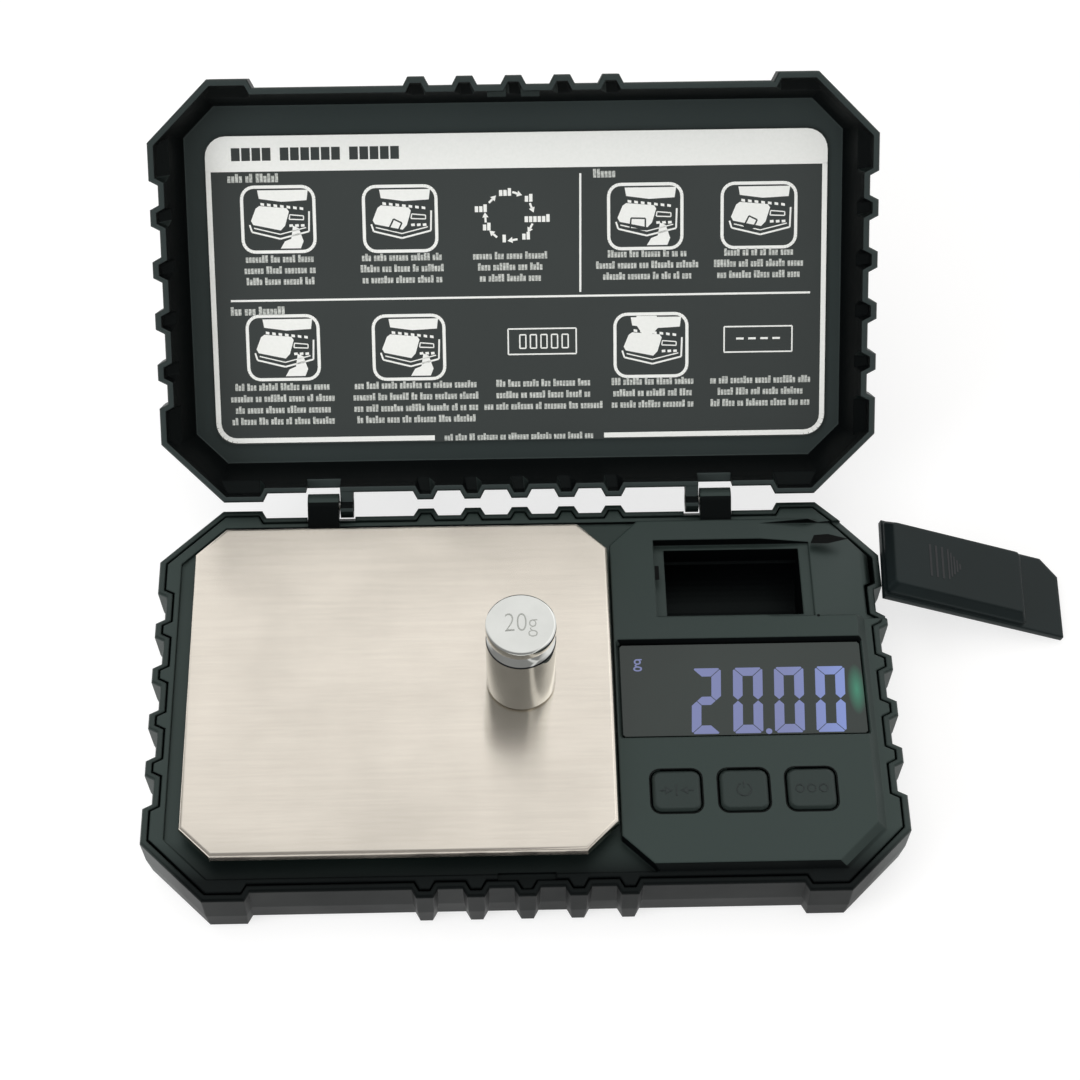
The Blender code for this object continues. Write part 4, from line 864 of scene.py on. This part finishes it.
for u, v, rows, wide in ((-46.3, 5.2, 3, 13.5), (-22.3, 5.2, 3, 17.0), (-1.0, 5.2, 3, 13.0),
                         (26.0, 5.2, 3, 18.0), (48.0, 5.2, 3, 15.5)):
    for row in range(rows):
        print_words(rows_of_words, u, v - 2.2 * row, wide - words.uniform(0, 3), ROW_HEIGHT)
for u, v, rows, wide in ((-46.7, -20.3, 4, 20.0), (-20.2, -20.3, 4, 25.0), (5.2, -20.3, 3, 20.0),
                         (27.0, -20.3, 3, 16.0), (48.5, -20.3, 3, 19.5)):
    for row in range(rows):
        print_words(rows_of_words, u, v - 2.3 * row, wide - words.uniform(0, 4), ROW_HEIGHT)
print_words(rows_of_words, 0.2, -31.0, 29.0, 1.35)


def print_drawing(bm, u0, u1, v0, v1, kind):
    """A boxed line drawing of the open scale, bare or with a finger below or a hand above."""
    print_loop(bm, round_points(u0, u1, v0, v1, 2.4), 0.62)

    def at(across, up):
        return (u0 + across * (u1 - u0), v0 + up * (v1 - v0))

    print_shape(bm, [at(0.24, 0.82), at(0.55, 0.77), at(0.90, 0.79), at(0.92, 0.95), at(0.22, 0.95)])
    for step in range(7):
        left = 0.26 + 0.09 * step
        low = 0.71 - 0.012 * step
        print_shape(bm, [at(left, low + 0.05), at(left + 0.05, low + 0.04), at(left + 0.05, low),
                         at(left, low + 0.01)])
    print_line(bm, [at(0.10, 0.42), at(0.13, 0.31), at(0.52, 0.20), at(0.92, 0.31), at(0.93, 0.62)], 0.34)
    print_line(bm, [at(0.16, 0.37), at(0.52, 0.27), at(0.88, 0.37)], 0.22)
    print_shape(bm, [at(0.12, 0.48), at(0.15, 0.42), at(0.53, 0.33), at(0.59, 0.40), at(0.65, 0.62),
                     at(0.62, 0.67), at(0.24, 0.71), at(0.19, 0.67)])
    print_loop(bm, [at(0.66, 0.57), at(0.85, 0.55), at(0.85, 0.49), at(0.65, 0.50)], 0.22)
    for left in (0.65, 0.73, 0.81):
        print_line(bm, [at(left, 0.40), at(left + 0.05, 0.405)], 0.5)
    if kind == "finger":
        print_shape(bm, [at(0.52, 0.05), at(0.80, 0.05), at(0.84, 0.16), at(0.78, 0.36), at(0.70, 0.40),
                         at(0.67, 0.20), at(0.58, 0.16)])
    if kind == "hand":
        print_shape(bm, [at(0.30, 0.97), at(0.58, 0.97), at(0.62, 0.80), at(0.50, 0.66),
                         at(0.38, 0.68), at(0.30, 0.82)], lift=2)


for u0, u1, v0, v1, kind in ((-53.4, -39.3, 7.3, 20.0, "finger"), (-29.6, -15.4, 7.1, 19.8, "own_gloss"),
                             (18.4, 32.8, 6.9, 19.5, "finger"), (40.7, 55.2, 6.8, 19.4, "own_gloss"),
                             (-53.3, -39.3, -18.1, -5.4, "finger"), (-28.4, -14.4, -18.4, -5.7, "finger"),
                             (19.5, 33.8, -18.6, -6.1, "hand")):
    print_drawing(bm, u0, u1, v0, v1, kind)
# A ring of seven arrows with a small label outside each.
RING_MIDDLE = Vector((-1.1, 13.6))
RING_RADIUS = 4.7
LABEL_PITCH = 0.85
for degrees in (71, 21, -29, -82, -132, -177, 135):
    angle = math.radians(degrees)
    along = Vector((math.sin(angle), -math.cos(angle)))
    side = Vector((-along.y, along.x))
    centre = RING_MIDDLE + RING_RADIUS * Vector((math.cos(angle), math.sin(angle)))
    print_line(bm, [tuple(centre - along * 0.9), tuple(centre + along * 0.2)], 0.42)
    print_shape(bm, [tuple(centre + along * 0.1 + side * 0.6), tuple(centre + along * 0.1 - side * 0.6),
                     tuple(centre + along * 1.1)])
for u, v, count in ((-2.2, 17.6, 3), (2.4, 16.4, 2), (4.0, 12.4, 6), (1.8, 9.0, 2), (-2.5, 8.5, 1),
                    (-5.9, 10.9, 2), (-7.0, 14.5, 3)):
    for letter in range(count):
        left = u + LABEL_PITCH * letter - 0.42 * (count - 1)
        rise = 1.5 if letter == count - 1 else 1.15
        print_box(bm, left, left + 0.66, v, v + rise)
# Two boxes for the display, one with five zeros and one with four dashes.
for u0, u1, v0, v1 in ((-1.7, 11.8, -13.8, -8.7), (41.2, 54.7, -14.0, -8.9)):
    print_loop(bm, box_points(u0, u1, v0, v1), 0.28)
for u in (0.6, 2.7, 4.8, 6.9, 9.0):
    print_loop(bm, box_points(u, u + 1.2, -12.6, -9.9), 0.26)
for u in (43.6, 46.0, 48.4, 50.8):
    print_line(bm, [(u, -11.3), (u + 1.5, -11.3)], 0.4)
finish_print("card_print", bm, ink)
finish_print("card_rows_of_words", rows_of_words, fine_ink)

bm = bmesh.new()
for start, count in ((-55.1, 4), (-45.6, 6), (-32.1, 5)):
    for letter in range(count):
        left = start + 2.0 * letter
        print_box(bm, left, left + 1.68, 25.1, 27.6, lift=2)
for u, v in ((-22.8, 12.0), (47.0, 11.6)):
    print_loop(bm, [(u - 2.0, v - 0.6), (u - 0.2, v - 1.0), (u + 0.6, v + 0.6), (u - 1.0, v + 1.4)],
               0.3, lift=2)
print_loop(bm, [(22.6, 10.8), (25.6, 10.6), (25.6, 12.8), (22.8, 12.9)], 0.3, lift=2)
finish_print("card_header_words", bm, card)


# Inner works: zinc-plated screws and contacts, the milled load cell with white silicone
# over its gauges, the glass-fibre board, silicone keypad, film-wrapped cells and leads.
def plain_metal(name, colour, roughness, line_mm):
    """A dull metal with faint tool lines."""
    made, tree = new_material(name)
    place = add_node(tree, "ShaderNodeTexCoord").outputs["Object"]
    noise = add_node(tree, "ShaderNodeTexNoise", {"Vector": place, "Scale": 1 / (line_mm * MM),
                                                  "Detail": 3.0})
    rough = add_node(tree, "ShaderNodeMapRange", {0: noise.outputs["Fac"], 3: roughness - 0.06,
                                                  4: roughness + 0.1})
    relief = add_node(tree, "ShaderNodeBump", {"Height": noise.outputs["Fac"], "Strength": 0.1,
                                               "Distance": 0.03 * MM})
    shader = add_node(tree, "ShaderNodeBsdfPrincipled", {
        "Base Color": linear(colour), "Metallic": 1.0, "Roughness": rough.outputs[0],
        "Normal": relief.outputs[0]})
    end_material(tree, shader)
    return made


zinc = plain_metal("zinc_plated_steel", "#C4C3BE", 0.32, 0.8)
milled = plain_metal("milled_aluminium", "#C9CBCC", 0.36, 0.5)
for node in frame["nodes"]:
    if node.startswith(("case_screw", "cell_screw", "tray_screw", "contact_plate", "contact_spring",
                        "hinge_pin")):
        dress(node, zinc)
dress("load_cell", milled)
pad_rubber = moulded_plastic("moulded_rubber", "#18191A", "#212223", 0.78, grain_mm=0.5)
for node in ("foot_1", "foot_2", "foot_3", "foot_4", "contact_strip", "keypad_membrane",
             "battery_lead_black"):
    dress(node, pad_rubber)
dress("controller_chip", tray_abs)
for node, name, colour, worn, rough in (
        ("circuit_board", "green_solder_mask", "#14512A", "#1B6435", 0.35),
        ("lcd_glass", "liquid_crystal_glass", "#2C312C", "#353B35", 0.15),
        ("backlight", "white_light_guide", "#DADAD4", "#E6E6E0", 0.4),
        ("gauge_sealant", "white_silicone", "#D8D8D2", "#E4E4DE", 0.6),
        ("gauge_lead", "white_pvc_sleeve", "#D2D2CC", "#DEDED8", 0.5),
        ("battery_lead_red", "red_pvc_sleeve", "#B3201A", "#C22A22", 0.45),
        ("aaa_cell_1", "film_jacket_first_cell", "#2B4F8C", "#33599A", 0.25),
        ("aaa_cell_2", "film_jacket_second_cell", "#2B4F8C", "#33599A", 0.25)):
    dress(node, moulded_plastic(name, colour, worn, rough))
